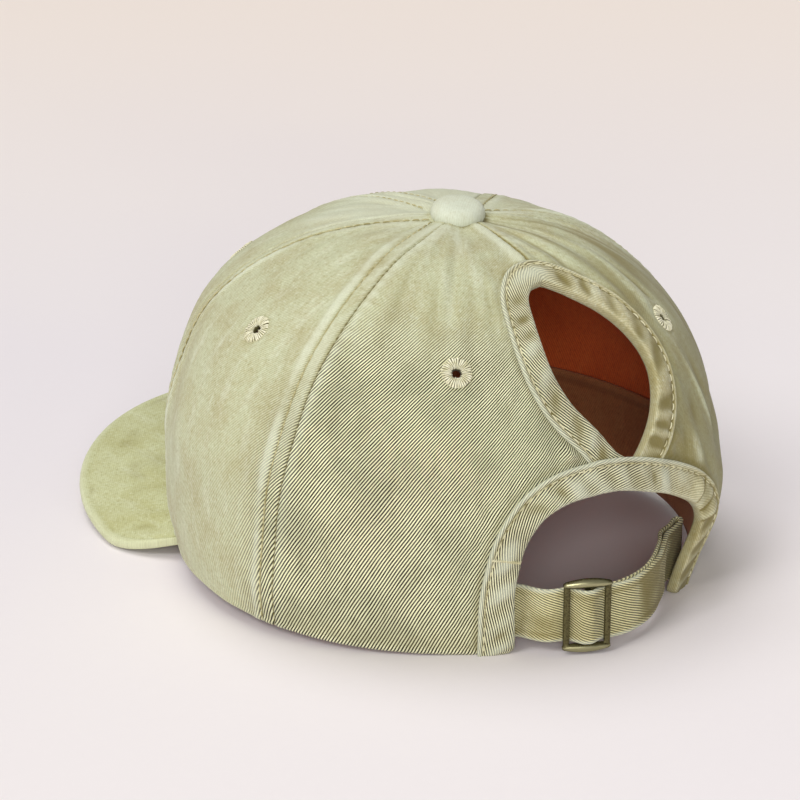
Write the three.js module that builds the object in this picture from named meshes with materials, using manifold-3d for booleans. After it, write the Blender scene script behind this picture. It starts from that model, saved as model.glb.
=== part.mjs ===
// Ponytail baseball cap: six sewn panels, a brim, a high ponytail hole, a low arch and a slide strap.
// Millimetres, +Z up. The brim points to -Y, the wearer's left is +X, the arch is at the back (+Y).
// The cap stands on the side edges of its brim and on the hem at its back.

import * as THREE from "three";
import { mergeVertices } from "three/addons/utils/BufferGeometryUtils.js";
import Module from "manifold-3d";

const wasm = await Module();
wasm.setup();

// Crown sizes
const crownHalfWidth = 88;
const crownFrontReach = 88.4;
const crownBackReach = 82.5;
const crownHeight = 112.7;
const crownLean = 6.9; // how far behind the middle of the hem the top stands
const clothThickness = 1.2;
const clearance = 0.3; // between pieces that touch
const liningClearance = 0.5; // between the crown's inner face and what is sewn to it
const crownEyeRadius = 2.6; // the small round hole where the six panels meet

// Crown outline: each row is a level from the hem to the top
const crownSections = [
  { height: 0, front: 1, back: 1, side: 1 },
  { height: 0.12, front: 1.02, back: 1.024, side: 1.034 },
  { height: 0.26, front: 1.034, back: 1.038, side: 1.042 },
  { height: 0.41, front: 1.04, back: 1.028, side: 1.037 },
  { height: 0.56, front: 1.025, back: 0.964, side: 0.977 },
  { height: 0.7, front: 0.969, back: 0.854, side: 0.882 },
  { height: 0.82, front: 0.815, back: 0.715, side: 0.738 },
  { height: 0.91, front: 0.625, back: 0.553, side: 0.572 },
  { height: 0.967, front: 0.422, back: 0.365, side: 0.397 },
  { height: 0.993, front: 0.207, back: 0.182, side: 0.197 },
  { height: 1, front: 0.02, back: 0.02, side: 0.02 },
];

// Soft dents and swells of the worn cloth: turn and slant in degrees, the slant from upright,
// height and sizes as shares of the crown's height, depth as a share of it too (inward is positive)
const crownDents = [
  { turn: 226, height: 0.45, along: 0.15, across: 0.05, slant: 70, depth: 0.03 },
  { turn: 208, height: 0.28, along: 0.17, across: 0.15, slant: 80, depth: -0.045 },
  { turn: 156, height: 0.05, along: 0.12, across: 0.12, slant: 0, depth: -0.014 },
  { turn: 148, height: 0.86, along: 0.16, across: 0.03, slant: 4, depth: 0.008 },
  { turn: 94, height: 0.74, along: 0.2, across: 0.05, slant: 20, depth: 0.01 },
  { turn: 60, height: 0.5, along: 0.22, across: 0.07, slant: -15, depth: 0.012 },
  { turn: 262, height: 0.62, along: 0.2, across: 0.06, slant: 25, depth: 0.014 },
  { turn: 330, height: 0.6, along: 0.22, across: 0.08, slant: -20, depth: 0.01 },
];

// Seams: the turn of each seam at the hem and at the top
const frontSeam = { hem: 52, top: 60, bow: 0 };
const backSeam = { hem: 105, top: 124, bow: 2.5 };

// Brim sizes
const brimLength = 58; // in front of the hem
const brimSideInset = 0.5; // how far its widest part lies inside the crown's width, each side
const brimHalfWidth = crownHalfWidth - brimSideInset;
const brimEndInset = 14; // how far in from the crown's width its ends are sewn to the hem
const brimCornerHalfWidth = crownHalfWidth - brimEndInset;
const brimThickness = 2.8;
const brimArch = 8; // the middle of the hem stands this far above the brim's ends
const brimRoundness = 2.3;
const brimCornerLength = 26; // over which its edge swings out from each end
const brimColumns = 32;
const brimRows = 6;
const hemFlatReach = 70; // the hem lies flat on the floor from here back

// Ponytail hole: heights are shares of the crown
const holeTurn = 183;
const holeHalfWidth = 19;
const holeBottom = 0.49;
const holeTop = 0.92;
const holeBandWidth = 9.5;
const holeOutline = [
  { height: 0, left: 0, right: 0 },
  { height: 0.09, left: 0.34, right: 0.3 },
  { height: 0.24, left: 0.62, right: 0.73 },
  { height: 0.4, left: 0.92, right: 1 },
  { height: 0.55, left: 1.03, right: 1.05 },
  { height: 0.7, left: 1.01, right: 0.86 },
  { height: 0.83, left: 0.9, right: 0.54 },
  { height: 0.93, left: 0.74, right: 0.15 },
  { height: 0.985, left: 0.5, right: -0.12 },
  { height: 1, left: 0.24, right: -0.24 },
];

// Arch opening: heights are shares of the crown
const archTurn = 179.3;
const archHalfWidth = 34.5;
const archTop = 0.432;
const archBandWidth = 11.8; // at its feet
const archBandTopWidth = 10;
const archOutline = [
  { height: 0, left: 1, right: 0.97 },
  { height: 0.2, left: 1.05, right: 1 },
  { height: 0.4, left: 1.08, right: 1.04 },
  { height: 0.58, left: 1.06, right: 1.03 },
  { height: 0.72, left: 1.02, right: 0.9 },
  { height: 0.83, left: 0.94, right: 0.64 },
  { height: 0.92, left: 0.81, right: 0.3 },
  { height: 0.98, left: 0.58, right: -0.02 },
  { height: 1, left: 0.26, right: -0.26 },
];
const pleatCount = 3;
const pleatRise = 1.1;
const pleatLength = 5; // of one pleat, along the band
const pleatStart = 0.8; // share of the arch's length, from the wearer's left foot

// Bindings fold over the cut edge: a wide leg outside, a narrow leg inside
const bindingThickness = 1;
const bindingInnerLeg = 5;

// Sweatband
const sweatbandThickness = 1.2;
const sweatbandHeight = 30;
const sweatbandHemStep = 0.6; // its lower edge stays this far above the hem

// Crown button
const buttonRadius = 8.6;
const buttonHeight = 4.7;
const buttonShankRadius = 1.9;

// Eyelets: embroidered rings, one in each panel
const eyeletRadius = 4.5;
const eyeletHoleRadius = 1.3;
const eyeletBarrelRadius = 2;
const eyeletRise = 1.1;
const eyeletHeight = 0.76; // share of the crown
const eyeletTurns = { front: 27, side: 83.5, back: 143.5 };

// Strap and slide buckle
const strapHeight = 17.5;
const strapThickness = 1.2;
const strapLift = 4; // its lower edge above the floor
const strapBulge = 19.5; // how far it bows out behind the line between the two feet
const strapTuck = 13; // sewn length behind each foot, against the sweatband
const strapTurnRoom = 0.6; // how far its inner layer stands off the outer one where it turns back
const strapExit = 1; // it leaves each foot this far inside the arch
// The bow of the strap, from the wearer's left foot to the right one, in shares of its bulge
const strapBow = [
  { out: 0 },
  { out: 0.6 },
  { out: 0.9 },
  { out: 1 },
  { out: 0.97 },
  { out: 0.86 },
  { out: 0.64 },
  { out: 0.34 },
  { out: 0 },
];
const buckleShare = 0.225; // place along the strap, from the wearer's left foot
const buckleWidth = 15;
const buckleHeight = 24.2;
const buckleBarWidth = 2.2;
const buckleCentreBarWidth = 1.8;
const buckleBarDepth = 1.6;
const buckleDome = 0.9;

// Colours, roughness and metalness
const finishes = {
  twill: { color: 0xbdbb99, roughness: 0.92, metalness: 0 },
  brimTwill: { color: 0xb9b791, roughness: 0.92, metalness: 0 },
  binding: { color: 0xb0ab88, roughness: 0.93, metalness: 0 },
  strap: { color: 0xb8b191, roughness: 0.93, metalness: 0 },
  sweatband: { color: 0x8d8560, roughness: 0.95, metalness: 0 },
  thread: { color: 0xb5b18c, roughness: 0.85, metalness: 0 },
  brass: { color: 0x6b6038, roughness: 0.42, metalness: 0.85 },
};

const cap = new THREE.Group();

// Tables and small helpers

function radians(degrees) {
  return (degrees * Math.PI) / 180;
}

function clamp(value, low, high) {
  return Math.min(high, Math.max(low, value));
}

function mix(from, to, share) {
  return from + (to - from) * share;
}

// A smooth curve through one column of a table, whose rows are evenly spaced from 0 to 1
function tableValue(rows, column, share) {
  const last = rows.length - 1;
  const place = clamp(share, 0, 1) * last;
  const index = Math.min(Math.floor(place), last - 1);
  const part = place - index;
  const here = rows[index][column];
  const next = rows[index + 1][column];
  const before = index > 0 ? rows[index - 1][column] : 2 * here - next;
  const after = index + 2 <= last ? rows[index + 2][column] : 2 * next - here;
  const slope = next - before;
  const bend = 2 * before - 5 * here + 4 * next - after;
  const twist = 3 * (here - next) + after - before;
  return here + 0.5 * part * (slope + part * (bend + part * twist));
}

// The share at which a rising column of a table reaches a value
function tableShare(rows, column, value) {
  const steps = 30;
  let low = 0;
  let high = 1;
  for (let step = 0; step < steps; step += 1) {
    const middle = (low + high) / 2;
    if (tableValue(rows, column, middle) < value) {
      low = middle;
    } else {
      high = middle;
    }
  }
  return (low + high) / 2;
}

// Floor and hem lines

function hemReachAt(x) {
  const share = clamp(1 - (x / crownHalfWidth) ** 2, 0, 1);
  return -crownFrontReach * Math.sqrt(share);
}

function archAt(x) {
  return brimArch * (1 - (x / brimCornerHalfWidth) ** 2);
}

// The brim's outer edge: a rounded outline that swings out from the two ends
function brimOuterEdge(share) {
  const angle = (share * Math.PI) / 2;
  const power = 2 / brimRoundness; // a rounded shape between an ellipse and a box
  const cornerReach = hemReachAt(brimCornerHalfWidth);
  const length = brimLength + crownFrontReach + cornerReach;
  const y = cornerReach - length * Math.abs(Math.cos(angle)) ** power;
  const wide = brimHalfWidth * Math.abs(Math.sin(angle)) ** power;
  const forward = clamp((cornerReach - y) / brimCornerLength, 0, 1);
  const swing = 1 - (1 - forward) ** 2;
  const x = mix(Math.min(wide, brimCornerHalfWidth), wide, swing) * Math.sign(share);
  return new THREE.Vector3(x, y, 0);
}

// The slope that lifts the front until the brim's side edges stand on the floor
const brimShares = Array.from({ length: brimColumns + 1 }, (_, column) => (2 * column) / brimColumns - 1);
const brimWidest = Math.max(...brimShares.map((share) => brimOuterEdge(share).x));
const brimDrop = clearance + brimThickness - archAt(brimWidest);
const floorSlope = brimDrop / (hemFlatReach - hemReachAt(brimWidest));

function floorLift(y) {
  return floorSlope * Math.max(0, hemFlatReach - y);
}

function hemRise(x, y) {
  return y < 0 ? Math.max(0, archAt(x)) : 0;
}

// Crown surface: turn goes round from the front (0) by the wearer's left (90) to the back (180),
// share goes up from the hem (0) to the top (1)

const hemBlendHeight = 0.35; // the hem's arch has faded out at this share of the height
const girthScale = 0.75; // a radian round the crown, as a share of the crown's height

function dentDepth(turn, heightShare) {
  let depth = 0;
  for (const dent of crownDents) {
    const turned = (((((turn - dent.turn) % 360) + 540) % 360) - 180);
    const around = radians(turned) * girthScale;
    const up = heightShare - dent.height;
    const slant = radians(dent.slant);
    const along = up * Math.cos(slant) + around * Math.sin(slant);
    const across = around * Math.cos(slant) - up * Math.sin(slant);
    depth += dent.depth * Math.exp(-((along / dent.along) ** 2) - (across / dent.across) ** 2);
  }
  return depth * crownHeight;
}

function crownPoint(turn, share) {
  const angle = radians(turn);
  const atFront = Math.cos(angle) > 0;
  const side = tableValue(crownSections, "side", share);
  const reachShare = tableValue(crownSections, atFront ? "front" : "back", share);
  const reach = (atFront ? crownFrontReach : crownBackReach) * reachShare;
  const heightShare = tableValue(crownSections, "height", share);
  const shrink = 1 - dentDepth(turn, heightShare) / crownHalfWidth;
  const x = crownHalfWidth * side * Math.sin(angle) * shrink;
  const y = -reach * Math.cos(angle) * shrink + crownLean * heightShare;
  const fade = Math.max(0, 1 - heightShare / hemBlendHeight) ** 2;
  const z = crownHeight * heightShare + floorLift(y) + fade * hemRise(x, y);
  return new THREE.Vector3(x, y, z);
}

const turnStep = 0.2;
const shareStep = 0.002;

function turnSlope(turn, share) {
  const forward = crownPoint(turn + turnStep, share);
  return forward.sub(crownPoint(turn - turnStep, share)).divideScalar(2 * turnStep);
}

function shareSlope(turn, share) {
  const low = Math.max(0, share - shareStep);
  const high = Math.min(1, share + shareStep);
  return crownPoint(turn, high).sub(crownPoint(turn, low)).divideScalar(high - low);
}

// The outward direction. It turns level at the hem, so that the hem's edge is cut square.
const hemSquareShare = 0.08;

function crownNormal(turn, share) {
  const normal = shareSlope(turn, share).cross(turnSlope(turn, share)).negate().normalize();
  normal.z *= clamp(share / hemSquareShare, 0, 1);
  return normal.normalize();
}

// A point at a depth outside (+) or inside (-) the crown's outer face
function layerPoint(turn, share, depth) {
  const point = crownPoint(turn, share);
  return point.addScaledVector(crownNormal(turn, share), depth);
}

function shareAtHeight(heightShare) {
  return tableShare(crownSections, "height", heightShare);
}

function radiusAt(share) {
  return crownHalfWidth * tableValue(crownSections, "side", share);
}

// Solids from grids and sections

function solidFromPoints(points, triangles) {
  const geometry = new THREE.BufferGeometry();
  const numbers = points.flatMap((point) => point.toArray());
  geometry.setAttribute("position", new THREE.Float32BufferAttribute(numbers, 3));
  geometry.setIndex(triangles);
  return geometry;
}

function addQuad(triangles, a, b, c, d) {
  triangles.push(a, b, c, a, c, d);
}

// A wall between an outer and an inner grid of points. From outside, rows go up and columns right.
function wallSolid(outer, inner) {
  const rowCount = outer.length;
  const columnCount = outer[0].length;
  const points = [...outer.flat(), ...inner.flat()];
  const half = rowCount * columnCount;
  const triangles = [];
  const at = (row, column) => row * columnCount + column;
  for (let row = 0; row < rowCount - 1; row += 1) {
    for (let column = 0; column < columnCount - 1; column += 1) {
      const start = at(row, column);
      const above = at(row + 1, column);
      addQuad(triangles, start, start + 1, above + 1, above);
      addQuad(triangles, above + half, above + 1 + half, start + 1 + half, start + half);
    }
  }
  const rim = gridRim(rowCount, columnCount);
  rim.forEach((corner, index) => {
    const next = rim[(index + 1) % rim.length];
    addQuad(triangles, next, corner, corner + half, next + half);
  });
  return solidFromPoints(points, triangles);
}

// The point numbers round the edge of a grid
function gridRim(rowCount, columnCount) {
  const lastRow = rowCount - 1;
  const lastColumn = columnCount - 1;
  const rim = [];
  for (let column = 0; column < lastColumn; column += 1) rim.push(column);
  for (let row = 0; row < lastRow; row += 1) rim.push(row * columnCount + lastColumn);
  for (let column = lastColumn; column > 0; column -= 1) rim.push(lastRow * columnCount + column);
  for (let row = lastRow; row > 0; row -= 1) rim.push(row * columnCount);
  return rim;
}

// A solid through sections of equal point counts; each section is a closed outline
function sectionSolid(sections, closed) {
  const count = sections[0].length;
  const points = sections.flat();
  const triangles = [];
  const rings = closed ? sections.length : sections.length - 1;
  for (let ring = 0; ring < rings; ring += 1) {
    const start = ring * count;
    const next = ((ring + 1) % sections.length) * count;
    for (let index = 0; index < count; index += 1) {
      const after = (index + 1) % count;
      addQuad(triangles, start + index, start + after, next + after, next + index);
    }
  }
  if (!closed) {
    addCap(triangles, sections[0], 0, true);
    addCap(triangles, sections.at(-1), (sections.length - 1) * count, false);
  }
  return solidFromPoints(points, triangles);
}

// The flat end of a swept solid
function addCap(triangles, section, start, reversed) {
  const origin = section[0];
  const along = section[1].clone().sub(origin).normalize();
  const farthest = section.reduce((best, point) => {
    const reach = point.clone().sub(origin).cross(along).length();
    return reach > best.reach ? { point, reach } : best;
  }, { point: origin, reach: 0 });
  const up = farthest.point.clone().sub(origin);
  up.addScaledVector(along, -up.dot(along)).normalize();
  const flat = section.map((point) => {
    const offset = point.clone().sub(origin);
    return new THREE.Vector2(offset.dot(along), offset.dot(up));
  });
  const windsLeft = THREE.ShapeUtils.area(flat) > 0;
  const faces = THREE.ShapeUtils.triangulateShape(windsLeft ? flat : flat.slice().reverse(), []);
  for (const face of faces) {
    const corners = face.map((corner) => start + (windsLeft ? corner : section.length - 1 - corner));
    const flip = windsLeft === reversed;
    triangles.push(...(flip ? corners.reverse() : corners));
  }
}

// Cutting with manifold solids

const weldDistance = 1e-5;

function toManifold(geometry) {
  const bare = geometry.clone();
  bare.deleteAttribute("normal");
  bare.deleteAttribute("uv");
  const merged = mergeVertices(bare, weldDistance);
  const mesh = new wasm.Mesh({
    numProp: 3,
    vertProperties: new Float32Array(merged.attributes.position.array),
    triVerts: new Uint32Array(merged.index.array),
  });
  mesh.merge();
  return new wasm.Manifold(mesh);
}

function fromManifold(solid) {
  const mesh = solid.getMesh();
  const geometry = new THREE.BufferGeometry();
  const numbers = new Float32Array(mesh.vertProperties);
  geometry.setAttribute("position", new THREE.BufferAttribute(numbers, 3));
  geometry.setIndex([...mesh.triVerts]);
  return geometry;
}

// The same closed solid with its faces turned outward
function outward(geometry) {
  const positions = geometry.attributes.position;
  const index = geometry.index.array;
  const corners = [new THREE.Vector3(), new THREE.Vector3(), new THREE.Vector3()];
  let volume = 0;
  for (let start = 0; start < index.length; start += 3) {
    corners.forEach((corner, offset) => corner.fromBufferAttribute(positions, index[start + offset]));
    volume += corners[0].dot(corners[1].clone().cross(corners[2]));
  }
  if (volume < 0) geometry.setIndex([...index].reverse());
  return geometry;
}

function cut(geometry, cutters) {
  let solid = toManifold(geometry);
  for (const cutter of cutters) {
    solid = solid.subtract(toManifold(cutter));
  }
  return fromManifold(solid);
}

function addMesh(name, geometry, finish) {
  const material = new THREE.MeshStandardMaterial(finishes[finish]);
  const mesh = new THREE.Mesh(outward(geometry), material);
  mesh.name = name;
  cap.add(mesh);
  return mesh;
}

// Openings: a closed or open path of turn and share on the crown, with the hollow on its inner side

function outlinePath(outline, turn, halfWidth, bottom, top, count) {
  const side = (column, sign, index) => {
    const place = index / count;
    const share = shareAtHeight(mix(bottom, top, tableValue(outline, "height", place)));
    const reach = halfWidth * tableValue(outline, column, place);
    const turned = (reach / radiusAt(share)) * (180 / Math.PI);
    return { turn: turn + sign * turned, share };
  };
  const path = [];
  for (let index = 0; index <= count; index += 1) path.push(side("left", -1, index));
  for (let index = count - 1; index >= 0; index -= 1) path.push(side("right", 1, index));
  return path;
}

// Each step of a path with its sideways direction, in the crown's surface and away from the hollow
function pathFrames(path, closed) {
  return path.map((step, index) => {
    const before = closed ? path.at(index - 1) : path[Math.max(0, index - 1)];
    const after = closed ? path[(index + 1) % path.length] : path[Math.min(path.length - 1, index + 1)];
    const start = crownPoint(before.turn, before.share);
    const tangent = crownPoint(after.turn, after.share).sub(start).normalize();
    const normal = crownNormal(step.turn, step.share);
    const sideways = normal.clone().cross(tangent).normalize();
    return { ...step, sideways };
  });
}

// The point at a distance sideways from a path, laid on the crown, and at a depth
function besidePath(frame, distance, depth) {
  const around = turnSlope(frame.turn, frame.share);
  const upward = shareSlope(frame.turn, frame.share);
  const aa = around.dot(around);
  const uu = upward.dot(upward);
  const au = around.dot(upward);
  const a = around.dot(frame.sideways) * distance;
  const u = upward.dot(frame.sideways) * distance;
  const spread = aa * uu - au * au;
  const turn = frame.turn + (a * uu - u * au) / spread;
  const share = frame.share + (u * aa - a * au) / spread;
  return layerPoint(turn, Math.max(0, share), depth);
}

const holeSteps = 17;
const archSteps = 18;

function holePath() {
  const path = outlinePath(holeOutline, holeTurn, holeHalfWidth, holeBottom, holeTop, holeSteps);
  return pathFrames(path.slice(0, -1), true);
}

// The arch's path is finer where the pleats are
const pleatReach = 0.12; // share of the arch's length that the pleats and their run-out take
const pleatLead = 0.02;

function archPath() {
  const coarse = outlinePath(archOutline, archTurn, archHalfWidth, 0, archTop, archSteps);
  const path = [];
  coarse.forEach((step, index) => {
    path.push(step);
    const place = index / (coarse.length - 1);
    const next = coarse[index + 1];
    if (next && place >= pleatStart - pleatLead && place < pleatStart + pleatReach) {
      for (const share of [0.25, 0.5, 0.75]) {
        const turn = mix(step.turn, next.turn, share);
        path.push({ turn, share: mix(step.share, next.share, share) });
      }
    }
  });
  return pathFrames(path, false);
}

// The height of the band's pleats at a length along the arch
function pleatHeight(length, total) {
  const along = length - pleatStart * total;
  const end = pleatCount * pleatLength;
  if (along < 0 || along > end) return 0;
  return pleatRise * Math.sin((Math.PI * along) / pleatLength) ** 2;
}

// Section of a binding, from the visible edge (0) outward along the band
function bindingSection(frame, bandWidth, pleat) {
  const outerFoot = clearance;
  const innerFoot = -clothThickness - liningClearance;
  const corners = [
    [bandWidth, outerFoot],
    [bandWidth, outerFoot + bindingThickness],
    [bandWidth / 2, outerFoot + bindingThickness + pleat],
    [0, outerFoot + bindingThickness],
    [0, innerFoot - bindingThickness],
    [bindingInnerLeg, innerFoot - bindingThickness],
    [bindingInnerLeg, innerFoot],
    [bindingThickness, innerFoot],
    [bindingThickness, outerFoot],
    [(bandWidth + bindingThickness) / 2, outerFoot],
  ];
  return corners.map(([distance, depth]) => besidePath(frame, distance, depth));
}

// A plug that cuts an opening through the crown, at a margin outside the visible edge
const plugReach = 8; // how far it stands out on both sides of the cloth, and below the floor

function openingPlug(frames, margin, closed) {
  const outer = frames.map((frame) => besidePath(frame, margin, plugReach));
  const inner = frames.map((frame) => besidePath(frame, margin, -plugReach));
  if (!closed) {
    for (const ring of [outer, inner]) {
      ring.unshift(ring[0].clone().setZ(-plugReach));
      ring.push(ring.at(-1).clone().setZ(-plugReach));
    }
  }
  const middle = (ring) => {
    const sum = ring.reduce((total, point) => total.add(point), new THREE.Vector3());
    return sum.divideScalar(ring.length);
  };
  const bulge = middle(outer).sub(middle(inner)).setLength(plugReach);
  const centres = [middle(outer).add(bulge), middle(inner)];
  const points = [...outer, ...inner, ...centres];
  const triangles = [];
  const count = outer.length;
  for (let index = 0; index < count; index += 1) {
    const next = (index + 1) % count;
    addQuad(triangles, index, next, next + count, index + count);
    triangles.push(next, index, 2 * count);
    triangles.push(index + count, next + count, 2 * count + 1);
  }
  return solidFromPoints(points, triangles);
}

// Crown panels

// The back panels are finer, because the openings and their bindings are there
const panelMesh = {
  front: { rows: 15, columns: 8 },
  side: { rows: 15, columns: 8 },
  back: { rows: 26, columns: 13 },
};
const seamSpreadPower = 4;
const middleSeam = { hem: 0, top: 0, bow: 0 };
const panelNames = ["front", "side", "back"];

function seamTurn(seam, share) {
  return mix(seam.hem, seam.top, share ** seamSpreadPower) + seam.bow * Math.sin(Math.PI * share);
}

// The turns of a left panel's two seams; the right side is its mirror image
function panelTurns(panel, share) {
  const turns = [
    seamTurn(middleSeam, share),
    seamTurn(frontSeam, share),
    seamTurn(backSeam, share),
    180 - seamTurn(middleSeam, share),
  ];
  const first = panelNames.indexOf(panel);
  return [turns[first], turns[first + 1]];
}

const sectionsDown = [...crownSections].reverse();
const panelTopShare = 1 - tableShare(sectionsDown, "side", crownEyeRadius / crownHalfWidth);

function panelGrid(panel, mirrored, depth) {
  const mesh = panelMesh[panel];
  const rows = [];
  for (let row = 0; row <= mesh.rows; row += 1) {
    const share = (row / mesh.rows) * panelTopShare;
    const halfGap = (clearance / 2 / radiusAt(share)) * (180 / Math.PI);
    const [start, end] = panelTurns(panel, share);
    const points = [];
    for (let column = 0; column <= mesh.columns; column += 1) {
      const turn = mix(start + halfGap, end - halfGap, column / mesh.columns);
      points.push(layerPoint(mirrored ? 360 - turn : turn, share, depth));
    }
    rows.push(points);
  }
  return rows;
}

// Eyelets

const eyeletSides = 10;

function eyeletPlaces() {
  const share = shareAtHeight(eyeletHeight);
  const places = {};
  for (const [panel, turn] of Object.entries(eyeletTurns)) {
    places[`eyelet_${panel}_left`] = { turn, share, panel: `panel_${panel}_left` };
    places[`eyelet_${panel}_right`] = { turn: 360 - turn, share, panel: `panel_${panel}_right` };
  }
  return places;
}

function standOn(object, turn, share) {
  object.position.copy(crownPoint(turn, share));
  object.quaternion.setFromUnitVectors(new THREE.Vector3(0, 0, 1), crownNormal(turn, share));
}

function lathe(profile, sides) {
  const points = profile.map(([radius, height]) => new THREE.Vector2(radius, height));
  const turned = new THREE.LatheGeometry(points, sides);
  turned.rotateX(Math.PI / 2);
  turned.deleteAttribute("normal");
  turned.deleteAttribute("uv");
  return mergeVertices(turned, weldDistance);
}

function eyeletGeometry() {
  const foot = -clothThickness - clearance;
  const profile = [
    [eyeletHoleRadius, foot],
    [eyeletBarrelRadius, foot],
    [eyeletBarrelRadius, clearance],
    [eyeletRadius, clearance],
    [eyeletRadius * 0.95, eyeletRise * 0.75],
    [eyeletRadius * 0.72, eyeletRise],
    [eyeletBarrelRadius, eyeletRise],
    [eyeletHoleRadius, eyeletRise * 0.6],
    [eyeletHoleRadius, foot],
  ];
  return lathe(profile, eyeletSides);
}

const eyeletCutterLength = 12;

function eyeletCutter(place) {
  const radius = eyeletBarrelRadius + clearance;
  const cutter = new THREE.CylinderGeometry(radius, radius, eyeletCutterLength, eyeletSides);
  cutter.rotateX(Math.PI / 2);
  const holder = new THREE.Object3D();
  standOn(holder, place.turn, place.share);
  holder.updateMatrix();
  return cutter.applyMatrix4(holder.matrix);
}

function buildCrown() {
  const margin = bindingThickness + clearance;
  const openings = [openingPlug(holePath(), margin, true), openingPlug(archPath(), margin, false)];
  openings.forEach(outward);
  const eyelets = eyeletPlaces();
  for (const panel of panelNames) {
    for (const side of ["left", "right"]) {
      const name = `panel_${panel}_${side}`;
      const mirrored = side === "right";
      const outerFace = panelGrid(panel, mirrored, 0);
      const innerFace = panelGrid(panel, mirrored, -clothThickness);
      const holes = Object.values(eyelets).filter((place) => place.panel === name).map(eyeletCutter);
      const cutters = panel === "back" ? [...openings, ...holes] : holes;
      addMesh(name, cut(outward(wallSolid(outerFace, innerFace)), cutters), "twill");
    }
  }
  for (const [name, place] of Object.entries(eyelets)) {
    standOn(addMesh(name, eyeletGeometry(), "thread"), place.turn, place.share);
  }
}

// Bindings

function archWidthAt(frame) {
  const heightShare = tableValue(crownSections, "height", frame.share);
  return mix(archBandWidth, archBandTopWidth, clamp(heightShare / archTop, 0, 1));
}

function buildArchBinding() {
  const frames = archPath();
  const lengths = [0];
  for (let index = 1; index < frames.length; index += 1) {
    const here = crownPoint(frames[index].turn, frames[index].share);
    const before = crownPoint(frames[index - 1].turn, frames[index - 1].share);
    lengths.push(lengths[index - 1] + here.distanceTo(before));
  }
  const total = lengths.at(-1);
  const sections = frames.map((frame, index) =>
    bindingSection(frame, archWidthAt(frame), pleatHeight(lengths[index], total)),
  );
  addMesh("arch_binding", sectionSolid(sections, false), "binding");
  return frames;
}

// The hole's binding ends at the arch's band, which covers its lower tip
function buildHoleBinding(archFrames) {
  const sections = holePath().map((frame) => bindingSection(frame, holeBandWidth, 0));
  const loop = outward(sectionSolid(sections, true));
  const keepOut = outward(openingPlug(archFrames, archBandTopWidth + clearance, false));
  addMesh("hole_binding", cut(loop, [keepOut]), "binding");
}

// Sweatband

const sweatbandColumns = 44;
const sweatbandRows = 3;

function buildSweatband() {
  const outerDepth = -clothThickness - liningClearance;
  const archWidest = archHalfWidth * Math.max(...archOutline.map((row) => row.left));
  const endTurn = ((archWidest + bindingInnerLeg + clearance) / crownHalfWidth) * (180 / Math.PI);
  const start = archTurn + endTurn;
  const end = archTurn + 360 - endTurn;
  const top = shareAtHeight(sweatbandHeight / crownHeight);
  const bottom = shareAtHeight(sweatbandHemStep / crownHeight);
  const grid = (depth) => {
    const rows = [];
    for (let row = 0; row <= sweatbandRows; row += 1) {
      const share = mix(bottom, top, row / sweatbandRows);
      const points = [];
      for (let column = 0; column <= sweatbandColumns; column += 1) {
        points.push(layerPoint(mix(start, end, column / sweatbandColumns), share, depth));
      }
      rows.push(points);
    }
    return rows;
  };
  addMesh("sweatband", wallSolid(grid(outerDepth), grid(outerDepth - sweatbandThickness)), "sweatband");
}

// Brim

function brimHeight(x) {
  return floorLift(hemReachAt(x)) + archAt(x) - clearance;
}

function brimInnerEdge(share) {
  const cornerTurn = Math.asin(brimCornerHalfWidth / crownHalfWidth) * (180 / Math.PI);
  const depth = clothThickness + liningClearance + sweatbandThickness;
  return layerPoint(share * cornerTurn, 0, -depth);
}

function buildBrim() {
  const grid = (drop) => {
    const rows = [];
    for (let row = 0; row <= brimRows; row += 1) {
      const points = brimShares.map((share) => {
        const point = brimInnerEdge(share).setZ(0).lerp(brimOuterEdge(share), row / brimRows);
        return point.setZ(brimHeight(point.x) - drop);
      });
      rows.push(points);
    }
    return rows;
  };
  addMesh("brim", wallSolid(grid(0), grid(brimThickness)), "brimTwill");
}

// Button

const buttonSides = 20;
const apexShare = 0.94; // the crown's slope at the button's rim

function buildButton() {
  const normal = new THREE.Vector3();
  const turnsAround = 6;
  for (let turn = 0; turn < 360; turn += 360 / turnsAround) {
    normal.add(crownNormal(turn, apexShare));
  }
  const foot = -clothThickness - clearance - buttonShankRadius;
  const profile = [
    [0, foot],
    [buttonShankRadius, foot],
    [buttonShankRadius, clearance],
    [buttonRadius * 0.94, clearance],
    [buttonRadius, clearance + buttonHeight * 0.2],
    [buttonRadius * 0.96, buttonHeight * 0.5],
    [buttonRadius * 0.82, buttonHeight * 0.76],
    [buttonRadius * 0.55, buttonHeight * 0.93],
    [buttonRadius * 0.25, buttonHeight * 0.99],
    [0, buttonHeight],
  ];
  const button = addMesh("crown_button", lathe(profile, buttonSides), "twill");
  button.position.copy(crownPoint(0, 1)).lerp(crownPoint(180, 1), 0.5);
  button.quaternion.setFromUnitVectors(new THREE.Vector3(0, 0, 1), normal.normalize());
}

// Strap and buckle, laid out in plan and stood upright. Each end of the strap leans on the sweatband.

const strapFootShare = shareAtHeight(strapLift / crownHeight);
const sweatbandInnerDepth = -clothThickness - liningClearance - sweatbandThickness;
const strapDepth = sweatbandInnerDepth - clearance - strapThickness / 2;

// A point in plan behind a foot of the arch: side -1 is the wearer's left foot, 1 the right one
function footPoint(side, distance, depth) {
  const turned = ((archHalfWidth + distance) / crownHalfWidth) * (180 / Math.PI);
  return layerPoint(archTurn + side * turned, strapFootShare, depth).setZ(0);
}

const leftFoot = footPoint(-1, -strapExit, strapDepth);
const rightFoot = footPoint(1, -strapExit, strapDepth);

// The bowed line of the strap, from the wearer's left foot (0) to the right one (1)
function strapLine(share) {
  const point = leftFoot.clone().lerp(rightFoot, share);
  point.y += strapBulge * tableValue(strapBow, "out", share);
  return point;
}

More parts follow.
